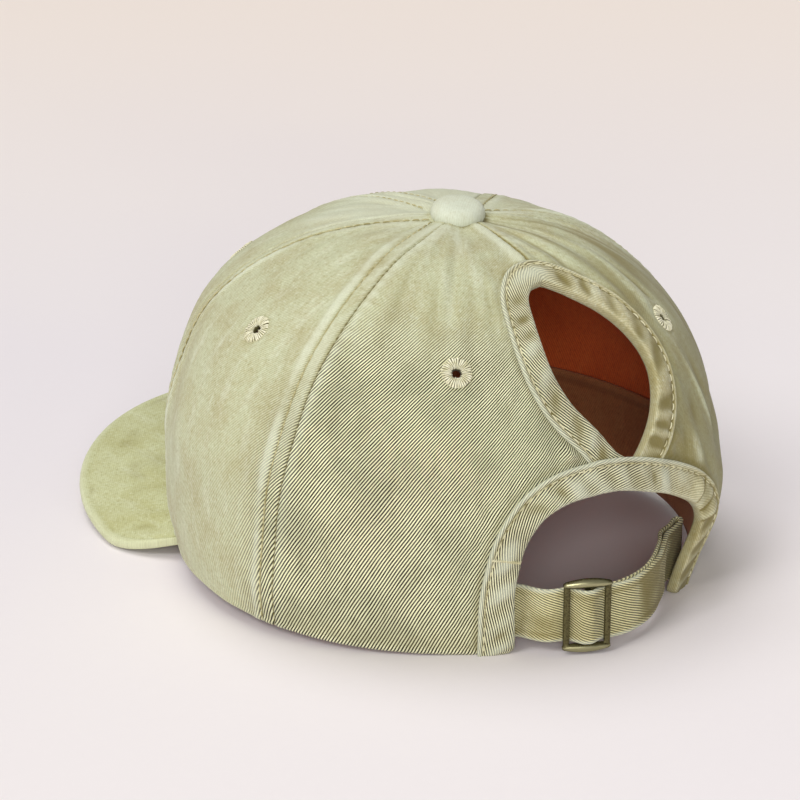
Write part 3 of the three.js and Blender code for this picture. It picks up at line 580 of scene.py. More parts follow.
class Graph:
    """The shader nodes of one material."""

    def __init__(self, name):
        self.material = bpy.data.materials.new(name)
        self.material.use_nodes = True
        self.tree = self.material.node_tree
        self.tree.nodes.clear()

    def put(self, socket, value):
        if isinstance(value, bpy.types.NodeSocket):
            self.tree.links.new(value, socket)
        else:
            socket.default_value = value

    def math(self, operation, first, second=0.0):
        node = self.tree.nodes.new("ShaderNodeMath")
        node.operation = operation
        self.put(node.inputs[0], first)
        self.put(node.inputs[1], second)
        return node.outputs[0]

    def scaled(self, value, factor, shift=0.0):
        return self.math("ADD", self.math("MULTIPLY", value, factor), shift)

    def wave(self, value):
        """A cosine from 0 to 1, one wave to a unit."""
        return self.scaled(self.math("COSINE", self.scaled(value, TURN)), 0.5, 0.5)

    def steps(self, value, low, high, start=0.0, end=1.0):
        """A smooth step from start to end as the value goes from low to high."""
        node = self.tree.nodes.new("ShaderNodeMapRange")
        node.interpolation_type = "SMOOTHSTEP"
        self.put(node.inputs[0], value)
        for index, number in enumerate((low, high, start, end), 1):
            node.inputs[index].default_value = number
        return node.outputs[0]

    def blend(self, factor, low, high):
        node = self.tree.nodes.new("ShaderNodeMix")
        node.data_type = "RGBA"
        self.put(node.inputs[0], factor)
        self.put(node.inputs[6], low)
        self.put(node.inputs[7], high)
        return node.outputs[2]

    def map(self, name):
        node = self.tree.nodes.new("ShaderNodeUVMap")
        node.uv_map = name
        return node.outputs[0]

    def layer(self, name):
        node = self.tree.nodes.new("ShaderNodeAttribute")
        node.attribute_name = name
        return node.outputs["Fac"]

    def place(self):
        return self.tree.nodes.new("ShaderNodeTexCoord").outputs["Object"]

    def split(self, vector):
        node = self.tree.nodes.new("ShaderNodeSeparateXYZ")
        self.put(node.inputs[0], vector)
        return node.outputs[0], node.outputs[1]

    def stretched(self, vector, scale):
        node = self.tree.nodes.new("ShaderNodeVectorMath")
        node.operation = "MULTIPLY"
        self.put(node.inputs[0], vector)
        node.inputs[1].default_value = scale
        return node.outputs[0]

    def noise(self, vector, scale, detail=2.0, roughness=0.5):
        node = self.tree.nodes.new("ShaderNodeTexNoise")
        self.put(node.inputs["Vector"], vector)
        node.inputs["Scale"].default_value = scale
        node.inputs["Detail"].default_value = detail
        node.inputs["Roughness"].default_value = roughness
        return node.outputs[0]

    def bump(self, height, distance, strength=1.0):
        node = self.tree.nodes.new("ShaderNodeBump")
        node.inputs["Strength"].default_value = strength
        node.inputs["Distance"].default_value = distance
        self.put(node.inputs["Height"], height)
        return node.outputs[0]

    def surface(self, base, roughness, normal=None, **constants):
        shader = self.tree.nodes.new("ShaderNodeBsdfPrincipled")
        self.put(shader.inputs["Base Color"], base)
        self.put(shader.inputs["Roughness"], roughness)
        if normal is not None:
            self.put(shader.inputs["Normal"], normal)
        for name, value in constants.items():
            shader.inputs[name.replace("_", " ")].default_value = value
        output = self.tree.nodes.new("ShaderNodeOutputMaterial")
        self.tree.links.new(shader.outputs[0], output.inputs[0])
        return self.material


def twill_ribs(graph):
    """The twill's ribs from 0 in a furrow to 1 on a rib, and the short threads along them."""
    weave = graph.map("Weave")
    across, along = graph.split(weave)
    wander = graph.noise(weave, 0.035, 2.0)
    uneven = graph.noise(graph.stretched(weave, (0.7, 0.1, 1)), 1.0, 2.0)
    lines = graph.scaled(across, 1 / WEAVE_PITCH)
    lines = graph.math("ADD", lines, graph.scaled(wander, 1.6, -0.8))
    lines = graph.math("ADD", lines, graph.scaled(uneven, 0.24, -0.12))
    rib = graph.steps(graph.wave(lines), 0.3, 0.64)
    turned = graph.math("ADD", graph.scaled(along, 1 / WEAVE_THREAD), graph.scaled(lines, 2.0))
    return rib, graph.wave(turned)


def washed_ground(graph, cloth, mottle, fuzz, dull, blotch, palette):
    """The colour of the cloth between its ribs: blotches, pale and dull streaks, and fuzz."""
    base, tan, pale, shade = (palette[name] for name in ("base", "tan", "pale", "shade"))
    long_noise = graph.noise(graph.stretched(cloth, (0.2, 0.045, 1)), 1.0, 5.0, 0.62)
    streak = graph.steps(long_noise, 0.48, 0.74)
    ground = graph.blend(graph.scaled(blotch, 0.8), base, tan)
    ground = graph.blend(graph.scaled(streak, 0.6), ground, pale)
    ground = graph.blend(graph.scaled(dull, 0.55), ground, tan)
    ground = graph.blend(graph.steps(mottle, 0.42, 0.72, 0.0, 0.4), ground, tan)
    ground = graph.blend(graph.steps(fuzz, 0.5, 0.85, 0.0, 0.6), ground, shade)
    return graph.blend(graph.steps(graph.scaled(fuzz, -1.0, 1.0), 0.5, 0.8, 0.0, 0.6), ground, pale)


def cloth_material(name, palette, depth=TWILL_DEPTH):
    """Washed twill: ribs where the weave layer asks for them, blotches, streaks, and wear on ridges,
    with painted highlights and painted shade from the wear and shading layer.
    """
    graph = Graph(name)
    cloth = graph.map("Cloth")
    rib, thread = twill_ribs(graph)
    weave = graph.layer("weave")
    wear_and_shading = graph.layer("wear_and_shading")
    blotch = graph.steps(graph.noise(cloth, 0.045, 5.0, 0.6), 0.4, 0.66)
    dull = graph.steps(graph.noise(graph.stretched(cloth, (0.13, 0.035, 1)), 1.7, 5.0, 0.65), 0.5, 0.78)
    mottle = graph.noise(cloth, 0.38, 4.0, 0.65)
    fuzz = graph.noise(graph.stretched(cloth, (1.0, 0.7, 1)), 0.95, 2.0, 0.75)
    grain = graph.noise(cloth, 2.2, 3.0, 0.7)
    ground = washed_ground(graph, cloth, mottle, fuzz, dull, blotch, palette)
    light_rib = graph.blend(graph.scaled(blotch, 0.5), palette["rib_light"], palette["base"])
    light_rib = graph.blend(graph.scaled(dull, 0.4), light_rib, palette["tan"])
    rib_share = graph.math("MULTIPLY", rib, graph.scaled(thread, 0.1, 0.9))
    # Ribs and furrows: the twill's dye contrast, with painted shade in the furrows and painted
    # highlights on the ribs.
    ribbed = graph.blend(rib_share, palette["furrow"], light_rib)
    patchy = graph.math("MULTIPLY", weave, graph.steps(mottle, 0.3, 0.6, 0.86, 1.0))
    mixed = graph.blend(patchy, ground, ribbed)
    # Above zero the layer pales the cloth, for real wear and for painted highlights; below zero it
    # darkens it towards the shade colour, for dark seams and for painted shade.
    worn_and_lit = graph.blend(graph.steps(wear_and_shading, 0.0, 1.0, 0.0, 0.6), mixed, palette["pale"])
    darkening_share = graph.steps(graph.math("MULTIPLY", wear_and_shading, -1.0), 0.0, 1.0, 0.0, 0.9)
    darkened = graph.blend(darkening_share, worn_and_lit, palette["shade"])
    fuzzy = graph.blend(graph.steps(grain, 0.35, 0.75, 0.0, 0.2), darkened, palette["shade"])
    fine = graph.math("ADD", graph.scaled(fuzz, 0.7), graph.scaled(mottle, 0.35))
    ribs = graph.math("MULTIPLY", graph.math("ADD", rib, graph.scaled(thread, 0.18)), weave)
    normal = graph.bump(graph.math("ADD", fine, ribs), depth, 0.9)
    roughness = graph.steps(wear_and_shading, -1.0, 1.0, 0.96, 0.84)
    return graph.surface(fuzzy, roughness, normal, Sheen_Weight=0.12, Sheen_Roughness=0.6,
                         Specular_IOR_Level=0.22)


def thread_material(name, light, dark):
    """Twisted sewing thread: short slanting strands."""
    graph = Graph(name)
    cloth = graph.map("Cloth")
    along, around = graph.split(cloth)
    strand = graph.wave(graph.math("ADD", graph.scaled(along, 1 / THREAD_TWIST), around))
    tint = graph.noise(graph.place(), 90.0, 3.0)
    body = graph.blend(graph.steps(tint, 0.35, 0.7), light, dark)
    shaded = graph.blend(graph.scaled(strand, 0.35), body, dark)
    normal = graph.bump(strand, 0.00005, 0.8)
    return graph.surface(shaded, graph.scaled(strand, 0.12, 0.68), normal, Sheen_Weight=0.1,
                         Sheen_Roughness=0.4, Specular_IOR_Level=0.3)


def eyelet_material():
    """Pale embroidery thread with painted shade in the gaps between the strands and in the hole."""
    graph = Graph("eyelet_thread")
    strand = graph.layer("strand")
    tint = graph.noise(graph.place(), 700.0, 3.0)
    body = graph.blend(graph.steps(tint, 0.35, 0.7), colour(240, 237, 210), colour(208, 203, 164))
    shaded = graph.blend(graph.steps(strand, 0.3, 0.8), colour(88, 82, 46), body)
    normal = graph.bump(tint, 0.00008, 0.7)
    return graph.surface(shaded, 0.7, normal, Sheen_Weight=0.1, Sheen_Roughness=0.4,
                         Specular_IOR_Level=0.3)


def brass_material():
    """Antique brass: dark in the hollows, rubbed bright on its edges."""
    graph = Graph("antique_brass")
    place = graph.place()
    wear_and_shading = graph.layer("wear_and_shading")
    patina = graph.noise(place, 420.0, 5.0, 0.65)
    spots = graph.noise(place, 1600.0, 3.0, 0.6)
    rubbed = graph.steps(graph.math("ADD", wear_and_shading, graph.scaled(patina, 0.7, -0.35)), 0.25, 0.95)
    dull = graph.blend(graph.steps(spots, 0.4, 0.7), colour(104, 98, 66), colour(66, 60, 38))
    metal = graph.blend(rubbed, dull, colour(168, 164, 126))
    roughness = graph.math("ADD", graph.scaled(rubbed, -0.16, 0.46), graph.scaled(spots, 0.12, -0.06))
    normal = graph.bump(graph.math("ADD", patina, graph.scaled(spots, 0.4)), 0.00006, 0.5)
    return graph.surface(metal, roughness, normal, Metallic=0.92, Specular_IOR_Level=0.5)


def floor_material():
    graph = Graph("pale_floor")
    place = graph.place()
    fibre = graph.noise(place, 240.0, 4.0, 0.6)
    drift = graph.noise(place, 2.2, 2.0)
    x, y = graph.split(place)
    away = graph.math("ADD", graph.scaled(x, -0.63), graph.scaled(y, -0.78))
    near = graph.blend(graph.steps(drift, 0.35, 0.65), colour(242, 236, 237), colour(238, 232, 236))
    base = graph.blend(graph.steps(away, 0.1, 1.1), near, colour(250, 238, 229))
    tint = graph.blend(graph.scaled(fibre, 0.08), base, colour(222, 214, 216))
    normal = graph.bump(fibre, 0.00008, 0.3)
    return graph.surface(tint, graph.scaled(fibre, 0.1, 0.88), normal, Specular_IOR_Level=0.05)


# The furrow colour, near black, and rib_light, near white, hold the twill's own dye contrast deepened by
# painted shade in its furrows and painted highlights on its ribs.
SAGE = dict(
    base=colour(195, 199, 163), tan=colour(180, 173, 130), pale=colour(222, 227, 204),
    shade=colour(126, 114, 56), furrow=colour(20, 15, 0), rib_light=colour(255, 253, 212),
)
BRIM_SAGE = dict(
    SAGE, base=colour(196, 199, 154), tan=colour(180, 179, 124), pale=colour(214, 218, 184),
)
BAND_SAGE = dict(SAGE, base=colour(203, 197, 158), tan=colour(174, 163, 116))
STRAP_SAGE = dict(
    SAGE, base=colour(196, 188, 140), tan=colour(168, 155, 98), rib_light=colour(255, 248, 190),
)
# Orange-brown of the crown's inside: painted warm bounce light, not the cloth's own colour.
PAINTED_BOUNCE_RUST = dict(
    base=colour(218, 100, 42), tan=colour(200, 86, 36), pale=colour(226, 114, 54),
    shade=colour(140, 48, 18), furrow=colour(160, 60, 24), rib_light=colour(222, 106, 48),
)
# The sweatband's olive cloth, turned orange-brown by painted warm bounce light.
OLIVE_WITH_PAINTED_BOUNCE = dict(
    base=colour(176, 112, 66), tan=colour(158, 94, 54), pale=colour(190, 130, 84),
    shade=colour(96, 52, 28), furrow=colour(112, 66, 36), rib_light=colour(186, 122, 76),
)
BUTTON_SAGE = dict(
    base=colour(212, 218, 198), tan=colour(206, 208, 182), pale=colour(224, 229, 214),
    shade=colour(178, 178, 148), furrow=colour(190, 190, 164), rib_light=colour(222, 227, 210),
)

TWILL = cloth_material("washed_twill", SAGE)
BRIM_TWILL = cloth_material("brim_twill", BRIM_SAGE)
BAND_TWILL = cloth_material("binding_twill", BAND_SAGE)
STRAP_TWILL = cloth_material("strap_twill", STRAP_SAGE)
# The crown's inside carries painted warm bounce light.
LINING_WITH_PAINTED_BOUNCE = cloth_material("crown_inside_painted_bounce", PAINTED_BOUNCE_RUST, SMOOTH_CLOTH_DEPTH)
# The sweatband's colour carries painted warm bounce light.
BAND_CLOTH = cloth_material("sweatband_cloth", OLIVE_WITH_PAINTED_BOUNCE, SMOOTH_CLOTH_DEPTH)
BUTTON_CLOTH = cloth_material("button_twill", BUTTON_SAGE, SMOOTH_CLOTH_DEPTH)
THREAD = thread_material("sage_thread", colour(236, 232, 198), colour(184, 176, 132))
SEAM_THREAD = thread_material("seam_thread", colour(204, 196, 152), colour(160, 150, 102))
EYELET_THREAD = eyelet_material()


# Crown panels

PANEL_ROWS = 170
EDGE_COLUMNS = 22
MIDDLE_COLUMNS = {"front": 58, "side": 58, "back": 86}
EDGE_SHARE = {"front": 0.13, "side": 0.13, "back": 0.09}
# Which of a panel's two seams, the front one and the back one, has a sewn row on this panel
SEWN_SIDES = {"front": (True, False), "side": (True, True), "back": (False, False)}
PANELS = ("front", "side", "back")
PANEL_PLACES = [(kind, side) for kind in PANELS for side in ("left", "right")]


def seam_turn(seam, share):
    hem, top, bow = seam
    return mix(hem, top, share ** SEAM_SPREAD_POWER) + bow * np.sin(math.pi * share)


def panel_turns(kind, share):
    turns = (
        seam_turn(MIDDLE_SEAM, share),
        seam_turn(FRONT_SEAM, share),
        seam_turn(BACK_SEAM, share),
        180 - seam_turn(MIDDLE_SEAM, share),
    )
    first = PANELS.index(kind)
    return turns[first], turns[first + 1]


def panel_fractions(kind):
    """Columns across a panel, closer together along its two seams."""
    edge = EDGE_SHARE[kind]
    near = np.linspace(0, edge, EDGE_COLUMNS + 1)
    middle = np.linspace(edge, 1 - edge, MIDDLE_COLUMNS[kind] + 1)[1:-1]
    return np.concatenate([near, middle, 1 - near[::-1]])


def seam_relief(distance, run, sewn):
    """Height of the cloth beside a seam: its furrow, the raised allowance and the puckers."""
    broken = 0.7 + 0.3 * np.sin(run * TURN / SEAM_DASH + 2 * soft_noise(run / 7, 1, 4))
    relief = -0.6 * broken * bell(distance, 0, 0.4)
    if not sewn:
        ripple = 0.1 * np.sin(run * 1.3 + 3 * soft_noise(run / 9, 0, 1)) * bell(distance, 3, 3)
        return relief + 0.18 * bell(distance, 1.6, 1.2) + ripple
    beyond_row = smooth(distance, SEAM_STITCH - 0.4, SEAM_STITCH + 0.5)
    raised = 0.3 * smooth(distance, 0.3, 1.3) * (1 - beyond_row)
    furrow = -0.34 * bell(distance, SEAM_STITCH, 0.42)
    ridge = (0.42 + 0.3 * soft_noise(run / 16, 2, 2)) * bell(distance, SEAM_STITCH + 2.4, 1.9)
    phase = run * TURN / 5.2 + 3.5 * soft_noise(run / 13, 5, 3)
    ripple = 0.08 * np.sin(phase) * bell(distance, SEAM_STITCH + 1.2, 2.4)
    return relief + raised + furrow + ridge + ripple


# Creases (inward) and bulges (outward): turn, share, half length, half width, slant, height
LEFT_CREASES = (
    (143, 0.78, 22, 1.8, 5, -0.5), (138.5, 0.79, 17, 2.6, 4, 0.35), (148, 0.82, 12, 3.0, -4, 0.35),
    (128, 0.86, 9, 2.2, 10, 0.3), (140, 0.6, 12, 3.0, 14, -0.25),
)
RIGHT_CREASES = (
    (220, 0.61, 15, 1.8, 0, -0.8), (214, 0.6, 17, 3.2, 4, 0.6), (208, 0.66, 16, 2.4, 8, -0.5),
    (214, 0.4, 11, 1.6, -6, 0.8), (218, 0.42, 10, 2.2, -6, -0.7), (207.5, 0.38, 8, 3.6, 30, -0.8),
    (200, 0.34, 8, 2.6, 25, -0.7), (204, 0.335, 7, 4.2, 20, 1.0), (206.5, 0.295, 6, 1.4, -20, -0.6),
    (196, 0.8, 18, 2.4, -6, -0.6), (201, 0.79, 16, 3.0, -4, 0.5), (212, 0.78, 18, 2.2, 0, -0.6),
    (226, 0.76, 18, 2.8, 6, 0.5), (234, 0.5, 16, 4.0, 20, -0.8),
)


def crease_relief(creases, turn, share, per_degree):
    relief = 0
    for crease_turn, crease_share, length, width, slant, height in creases:
        around = (turn - crease_turn) * per_degree
        up = (share - crease_share) * CROWN_RUN
        lean = math.radians(slant)
        along = up * math.cos(lean) + around * math.sin(lean)
        across = around * math.cos(lean) - up * math.sin(lean)
        relief = relief + height * bell(along, 0, length) * bell(across, 0, width)
    return relief


def top_puckers(turn, share, mirrored):
    """Long soft puckers that run down from the button between the seams."""
    reach = smooth(share, 0.5, 0.8) * (1 - smooth(share, 0.965, 0.992))
    size = radius_at(share) / CROWN_HALF_WIDTH
    waves = soft_noise(turn / 7 + 2.2 * share, share * 3.4, 17)
    waves = waves + 0.5 * soft_noise(turn / 3.4, share * 5, 18)
    return (1.05 if mirrored else 0.5) * reach * size * waves


def cloth_wrinkles(turn, share, kind):
    """Soft, shallow waves all over the washed cloth."""
    u = np.radians(turn) * 80
    v = share * CROWN_RUN
    waves = 0.26 * soft_noise(u / 17, v / 34, 4) + 0.12 * soft_noise(u / 6.5, v / 13, 5)
    slanted = soft_noise((u + v) / 30, (u - v) / 11, 6)
    calm = 0.6 if kind == "back" else 1.0
    return calm * (waves + 0.16 * slanted)


def gather_relief(fraction, share, width):
    """Ridges along the seams near the button, with a hollow between them."""
    reach = bell(share, 0.935, 0.06)
    return 0.045 * np.minimum(width, 22) * np.cos(TURN * fraction) * reach


class PanelGrid:
    """The points of one panel, with what its relief and colour depend on."""

    def __init__(self, kind, mirrored):
        low = np.array([0, 0.0025, 0.006, 0.011])
        shares = np.concatenate([low, np.linspace(0.017, PANEL_TOP_SHARE, PANEL_ROWS - 3)])
        fractions = panel_fractions(kind)
        start, end = panel_turns(kind, shares)
        self.shape = (len(shares), len(fractions))
        self.share = np.repeat(shares[:, None], len(fractions), 1)
        self.fraction = np.repeat(fractions[None, :], len(shares), 0)
        half_gap = np.degrees(PANEL_GAP / 2 / radius_at(self.share))
        first = start[:, None] + half_gap
        last = end[:, None] - half_gap
        own_turn = mix(first, last, self.fraction)
        self.turn = 360 - own_turn if mirrored else own_turn
        self.per_degree = np.linalg.norm(turn_slope(self.turn, self.share), axis=-1)
        self.from_front = (own_turn - start[:, None]) * self.per_degree
        self.from_back = (end[:, None] - own_turn) * self.per_degree
        self.width = (end - start)[:, None] * self.per_degree
        self.run = self.share * CROWN_RUN
        self.kind = kind
        self.mirrored = mirrored

    def flat(self, values):
        return values.reshape(-1, *values.shape[2:])

    def relief(self):
        front_sewn, back_sewn = SEWN_SIDES[self.kind]
        narrow = smooth(self.width, 8, 32)
        seams = seam_relief(self.from_front, self.run, front_sewn)
        seams = seams + seam_relief(self.from_back, self.run + 40, back_sewn)
        relief = seams * mix(0.3, 1, narrow)
        relief = relief + cloth_wrinkles(self.turn, self.share, self.kind) * narrow
        relief = relief + gather_relief(self.fraction, self.share, self.width)
        relief = relief + top_puckers(self.turn, self.share, self.mirrored) * narrow
        if self.kind == "back":
            creases = RIGHT_CREASES if self.mirrored else LEFT_CREASES
            relief = relief + crease_relief(creases, self.turn, self.share, self.per_degree)
        return relief

    def cloth_maps(self):
        points = crown_point(self.turn, self.share)
        steps = np.linalg.norm(np.diff(points, axis=1), axis=2)
        across = np.concatenate([np.zeros((len(points), 1)), np.cumsum(steps, axis=1)], 1)
        middle = points.shape[1] // 2
        across = across - across[:, middle:middle + 1]
        run = run_along(points[:, middle])[:, None] + 0 * across
        side = -1 if self.mirrored else 1
        return crown_maps(self.flat(side * across), self.flat(run))


def weave_strength(grid):
    """How plainly the ribs show: most on the lower back, least on the worn front and sides."""
    patches = 0.5 + 0.5 * soft_noise(np.radians(grid.turn) * 5, grid.share * 6, 7)
    lower = 1 - smooth(grid.share + 0.1 * (patches - 0.5), 0.55, 0.73)
    if grid.kind == "back" and grid.mirrored:
        strength = 0.03 + 0.16 * patches * lower
    elif grid.kind == "back":
        strength = 0.1 + 0.9 * lower
    else:
        near_seam = bell(grid.from_back, 0, 13) if grid.kind == "side" else 0
        strength = 0.06 + 0.08 * patches + 0.85 * near_seam * (1 - smooth(grid.share, 0.3, 0.62))
    return np.clip(strength, 0, 1)


def seam_wear(grid):
    """How dark the seams and sewn rows are, and how pale the cloth beside them is."""
    front_sewn, back_sewn = SEWN_SIDES[grid.kind]

    def beside(centre, width, front=1, back=1):
        return front * bell(grid.from_front, centre, width) + back * bell(grid.from_back, centre, width)

    dashes = 0.6 + 0.4 * np.sin(grid.run * TURN / SEAM_DASH)
    rows = beside(SEAM_STITCH, 0.45, front_sewn, back_sewn) * (1 - smooth(grid.share, 0.82, 0.93))
    dark = 0.9 * beside(0, 0.35) * dashes + (0.3 if grid.kind == "front" else 0.75) * rows
    ridge = 0.4 + 0.25 * soft_noise(grid.run / 11, 3, 23)
    pale = 0.3 * beside(2, 2.2, 1 - front_sewn, 1 - back_sewn)
    return dark, pale + ridge * beside(SEAM_STITCH + 2.3, 1.4, front_sewn, back_sewn)


def top_streaks(grid):
    """Long pale and dark streaks that run down from the button."""
    waves = soft_noise(grid.turn / 6 + 1.5 * grid.share, grid.share * 4, 21)
    waves = waves + 0.6 * soft_noise(grid.turn / 2.6, grid.share * 9, 22)
    return 0.45 * waves * smooth(grid.share, 0.5, 0.72) * (1 if grid.kind == "back" else 0.5)


def crown_wear_and_shading(grid, relief):
    """Pale where the cloth is raised and along the hem, painted shade in its furrows, and a painted
    highlight over the top near the button; painted shade over the right back panel, and the left back
    panel darker just above its hem.
    """
    dark, pale = seam_wear(grid)
    raised = 0.8 * smooth(relief, 0.12, 0.85) + 0.3 * bell(grid.run, 0, 1.6)
    # painted shade in the cloth's furrows
    furrow_shade = 0.62 * smooth(-relief, 0.2, 1.5)
    # painted highlight over the crown's top, strongest on the front panels and none on the right back
    # panel
    top_highlight = 0.3 * smooth(grid.share, 0.7, 0.93)
    darkened = 0
    if grid.kind == "front":
        top_highlight = 0.85 * smooth(grid.share, 0.6, 0.85)
    elif grid.kind == "back" and grid.mirrored:
        top_highlight = 0
        # painted shade over the right back panel, darkest low down
        darkened = mix(0.38, 0.62, 1 - smooth(grid.share, 0.4, 0.75))
    elif grid.kind == "back":
        darkened = 0.3 * bell(grid.run, 0, 16) * (1 - bell(grid.run, 0, 2))
    lighter = np.clip(raised + top_highlight + pale, 0, 1)
    return lighter - np.clip(furrow_shade + dark + darkened, 0, 1) + top_streaks(grid)


def eyelet_place(kind, side):
    """The turn and the share of an eyelet."""
    turn = EYELET_TURNS[kind]
    return 360 - turn if side == "right" else turn, share_at_height(EYELET_HEIGHT)


def trim_loop(grid_turn, grid_share, quads, loop, reach):
    """Takes out the quads inside a loop and draws the edge that is left onto the loop."""
    loop_turn, loop_share = loop
    within = inside(grid_turn, grid_share, loop_turn, loop_share)
    removed = within[quads].any(1)
    if not removed.any():
        return quads, grid_turn, grid_share
    kept = quads[~removed]
    edge = np.intersect1d(np.unique(quads[removed]), np.unique(kept))
    here = crown_point(grid_turn[edge], grid_share[edge])
    line = crown_point(loop_turn, np.maximum(0, loop_share))
    offsets = np.linalg.norm(here[:, None, :] - line[None, :, :], axis=2)
    nearest = offsets.argmin(1)
    close = offsets.min(1) < reach
    grid_turn = grid_turn.copy()
    grid_share = grid_share.copy()
    grid_turn[edge[close]] = loop_turn[nearest[close]]
    grid_share[edge[close]] = np.maximum(0, loop_share[nearest[close]])
    return kept, grid_turn, grid_share


def eyelet_loop(kind, side):
    """A small ring of turns and shares round an eyelet's hole."""
    turn, share = eyelet_place(kind, side)
    angles = np.radians(np.arange(0, 360, 6))
    per_degree = np.linalg.norm(turn_slope(turn, share))
    per_share = np.linalg.norm(share_slope(turn, share))
    around = EYELET_CUT * np.cos(angles) / per_degree
    up = EYELET_CUT * np.sin(angles) / per_share
    return turn + around, share + up


def band_factor(points):
    """1 on open cloth, falling to 0 under the two bindings."""
    hole = nearest_distance(points, HOLE_EDGE.points())
    arch = nearest_distance(points, ARCH_EDGE.points())
    clear_of_hole = smooth(hole, HOLE_BAND - 0.8, HOLE_BAND + 2.6)
    return clear_of_hole * smooth(arch, ARCH_BAND_TOP + 0.3, ARCH_BAND_TOP + 4)


def band_puckers(points):
    """Short soft puckers in the cloth just outside the two bindings."""
    hole = nearest_distance(points, HOLE_EDGE.points()) - HOLE_BAND
    arch = nearest_distance(points, ARCH_EDGE.points()) - ARCH_BAND
    waves = soft_noise(points[:, 0] / 4.5, points[:, 2] / 4.5, 19)
    return 0.8 * waves * (bell(hole, 3.2, 3.2) + bell(arch, 4, 4.5))


def settle_at_openings(points, relief, wear_and_shading):
    """Lets the relief die out under the two bindings and paints a shadow on the cloth along their edges.
    """
    factor = band_factor(points)
    relief = (relief + band_puckers(points)) * factor - 0.45 * (1 - factor)
    # painted shadow on the cloth along the bindings' edges
    return relief, wear_and_shading - 0.55 * (1 - factor) * smooth(factor, 0.0, 0.35)


def settle_at_eyelet(points, kind, side, relief, wear_and_shading):
    """Smooths the cloth round an eyelet, presses it down along the thread's edge and paints shade there.
    """
    away = np.linalg.norm(points - crown_point(*eyelet_place(kind, side)), axis=1)
    calm = smooth(away, 4.6, 10)
    relief = relief * calm - 0.12 * bell(away, 5.2, 0.7)
    # painted shade along the thread's edge
    return relief, mix(np.maximum(wear_and_shading, -0.3), wear_and_shading, calm) - 0.3 * bell(away, 5.0, 0.6)


def make_panel(kind, side):
    """One panel of the crown: a wall of twill outside and lining inside, the lining coloured with
    painted warm bounce light.
    """
    grid = PanelGrid(kind, side == "right")
    relief = grid.flat(grid.relief())
    wear_and_shading = grid.flat(crown_wear_and_shading(grid, grid.relief()))
    turn = grid.flat(grid.turn)
    share = grid.flat(grid.share)
    run = grid.flat(grid.run)
    points = crown_point(turn, share)
    loops = [eyelet_loop(kind, side)]
    if kind == "back":
        loops.append(loop_beside(HOLE_EDGE, CLOTH_EDGE))
        loops.append(loop_beside(ARCH_EDGE, CLOTH_EDGE, floor=BELOW_HEM))
        relief, wear_and_shading = settle_at_openings(points, relief, wear_and_shading)
    from_button = np.linalg.norm(points - button_frame()[0], axis=1)
    # Painted contact shadow on the cloth round the button's rim.
    wear_and_shading = wear_and_shading - 0.8 * bell(from_button, BUTTON_RADIUS + 0.4, 1.1)
    relief, wear_and_shading = settle_at_eyelet(points, kind, side, relief, wear_and_shading)
    quads = grid_quads(*grid.shape)
    for loop in loops:
        quads, turn, share = trim_loop(turn, share, quads, loop, TRIM_REACH)
    relief = relief + 0.22 * bell(run, 1.3, 0.8) - 0.16 * bell(run, 3.0, 0.6)
    rounding = 0.4 * bell(run, 0, 0.5)
    outer = layer_point(turn, share, relief - rounding)
    inner = layer_point(turn, share, -CLOTH + 0.35 * np.minimum(relief, 0.6) + rounding)
    strength = grid.flat(weave_strength(grid))
    lining_strength = np.full(len(inner), LINING_WEAVE)
    piece = make_piece(
        f"panel_{kind}_{side}_cloth", np.concatenate([outer, inner]), wall_faces(quads, len(outer)),
        [TWILL, LINING_WITH_PAINTED_BOUNCE],
        layers={
            "wear_and_shading": np.concatenate([wear_and_shading, 0.5 * wear_and_shading]),
            "weave": np.concatenate([strength, lining_strength]),
        },
        maps=on_both_faces(grid.cloth_maps()),
        indices=(0, 1, 0),
    )
    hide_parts(f"panel_{kind}_{side}")


# Sewing thread

RING_SHARES = np.array([0, 0.16, 0.5, 0.84, 1])
RING_SIZES = np.array([0.45, 0.95, 1.05, 0.95, 0.45])
RING_LIFTS = np.array([-0.9, 0.25, 0.6, 0.25, -0.9])
THREAD_SIDES = 6


def stitch_mesh(name, starts, ends, normals, slot, radius=THREAD_RADIUS, material=None):
    """Short threads, each arched over the cloth from its start to its end."""
    count = len(starts)
    along = ends - starts
    aside = unit(np.cross(normals, along))
    angles = ring_angles(THREAD_SIDES)
    points = np.zeros((count, len(RING_SHARES), THREAD_SIDES, 3))
    maps = np.zeros((count, len(RING_SHARES), THREAD_SIDES, 2))
    lengths = np.linalg.norm(along, axis=1)
    for ring, (place, size, lift) in enumerate(zip(RING_SHARES, RING_SIZES, RING_LIFTS)):
        centre = starts + along * place + normals * (lift * radius)
        for corner, angle in enumerate(angles):
            reach = radius * size
            offset = aside * (reach * math.cos(angle)) + normals * (reach * math.sin(angle))
            points[:, ring, corner] = centre + offset
            maps[:, ring, corner, 0] = lengths * place
            maps[:, ring, corner, 1] = corner / THREAD_SIDES
    rings = len(RING_SHARES)
    body, first, last = tube_faces(rings, THREAD_SIDES)
    starts_at = (np.arange(count) * rings * THREAD_SIDES)[:, None, None]
    quads = (starts_at + body[None]).reshape(-1, 4)
    caps = np.concatenate([(starts_at + cap[None]).reshape(-1, THREAD_SIDES) for cap in (first, last)])
    return make_piece(
        name, points.reshape(-1, 3), [quads, caps], [material or THREAD],
        maps={"Cloth": maps.reshape(-1, 2)},
    )


def stitches_along(points, normals, length=STITCH_LENGTH, gap=STITCH_GAP):
    """The starts, ends and normals of a row of stitches along a line of points."""
    run = run_along(points)
    starts = np.arange(0.5 * gap, run[-1] - length, length + gap)

    def at(values, places):
        return np.stack([np.interp(places, run, values[:, axis]) for axis in range(3)], -1)

    middle = unit(at(normals, starts + 0.5 * length))
    return at(points, starts), at(points, starts + length), middle


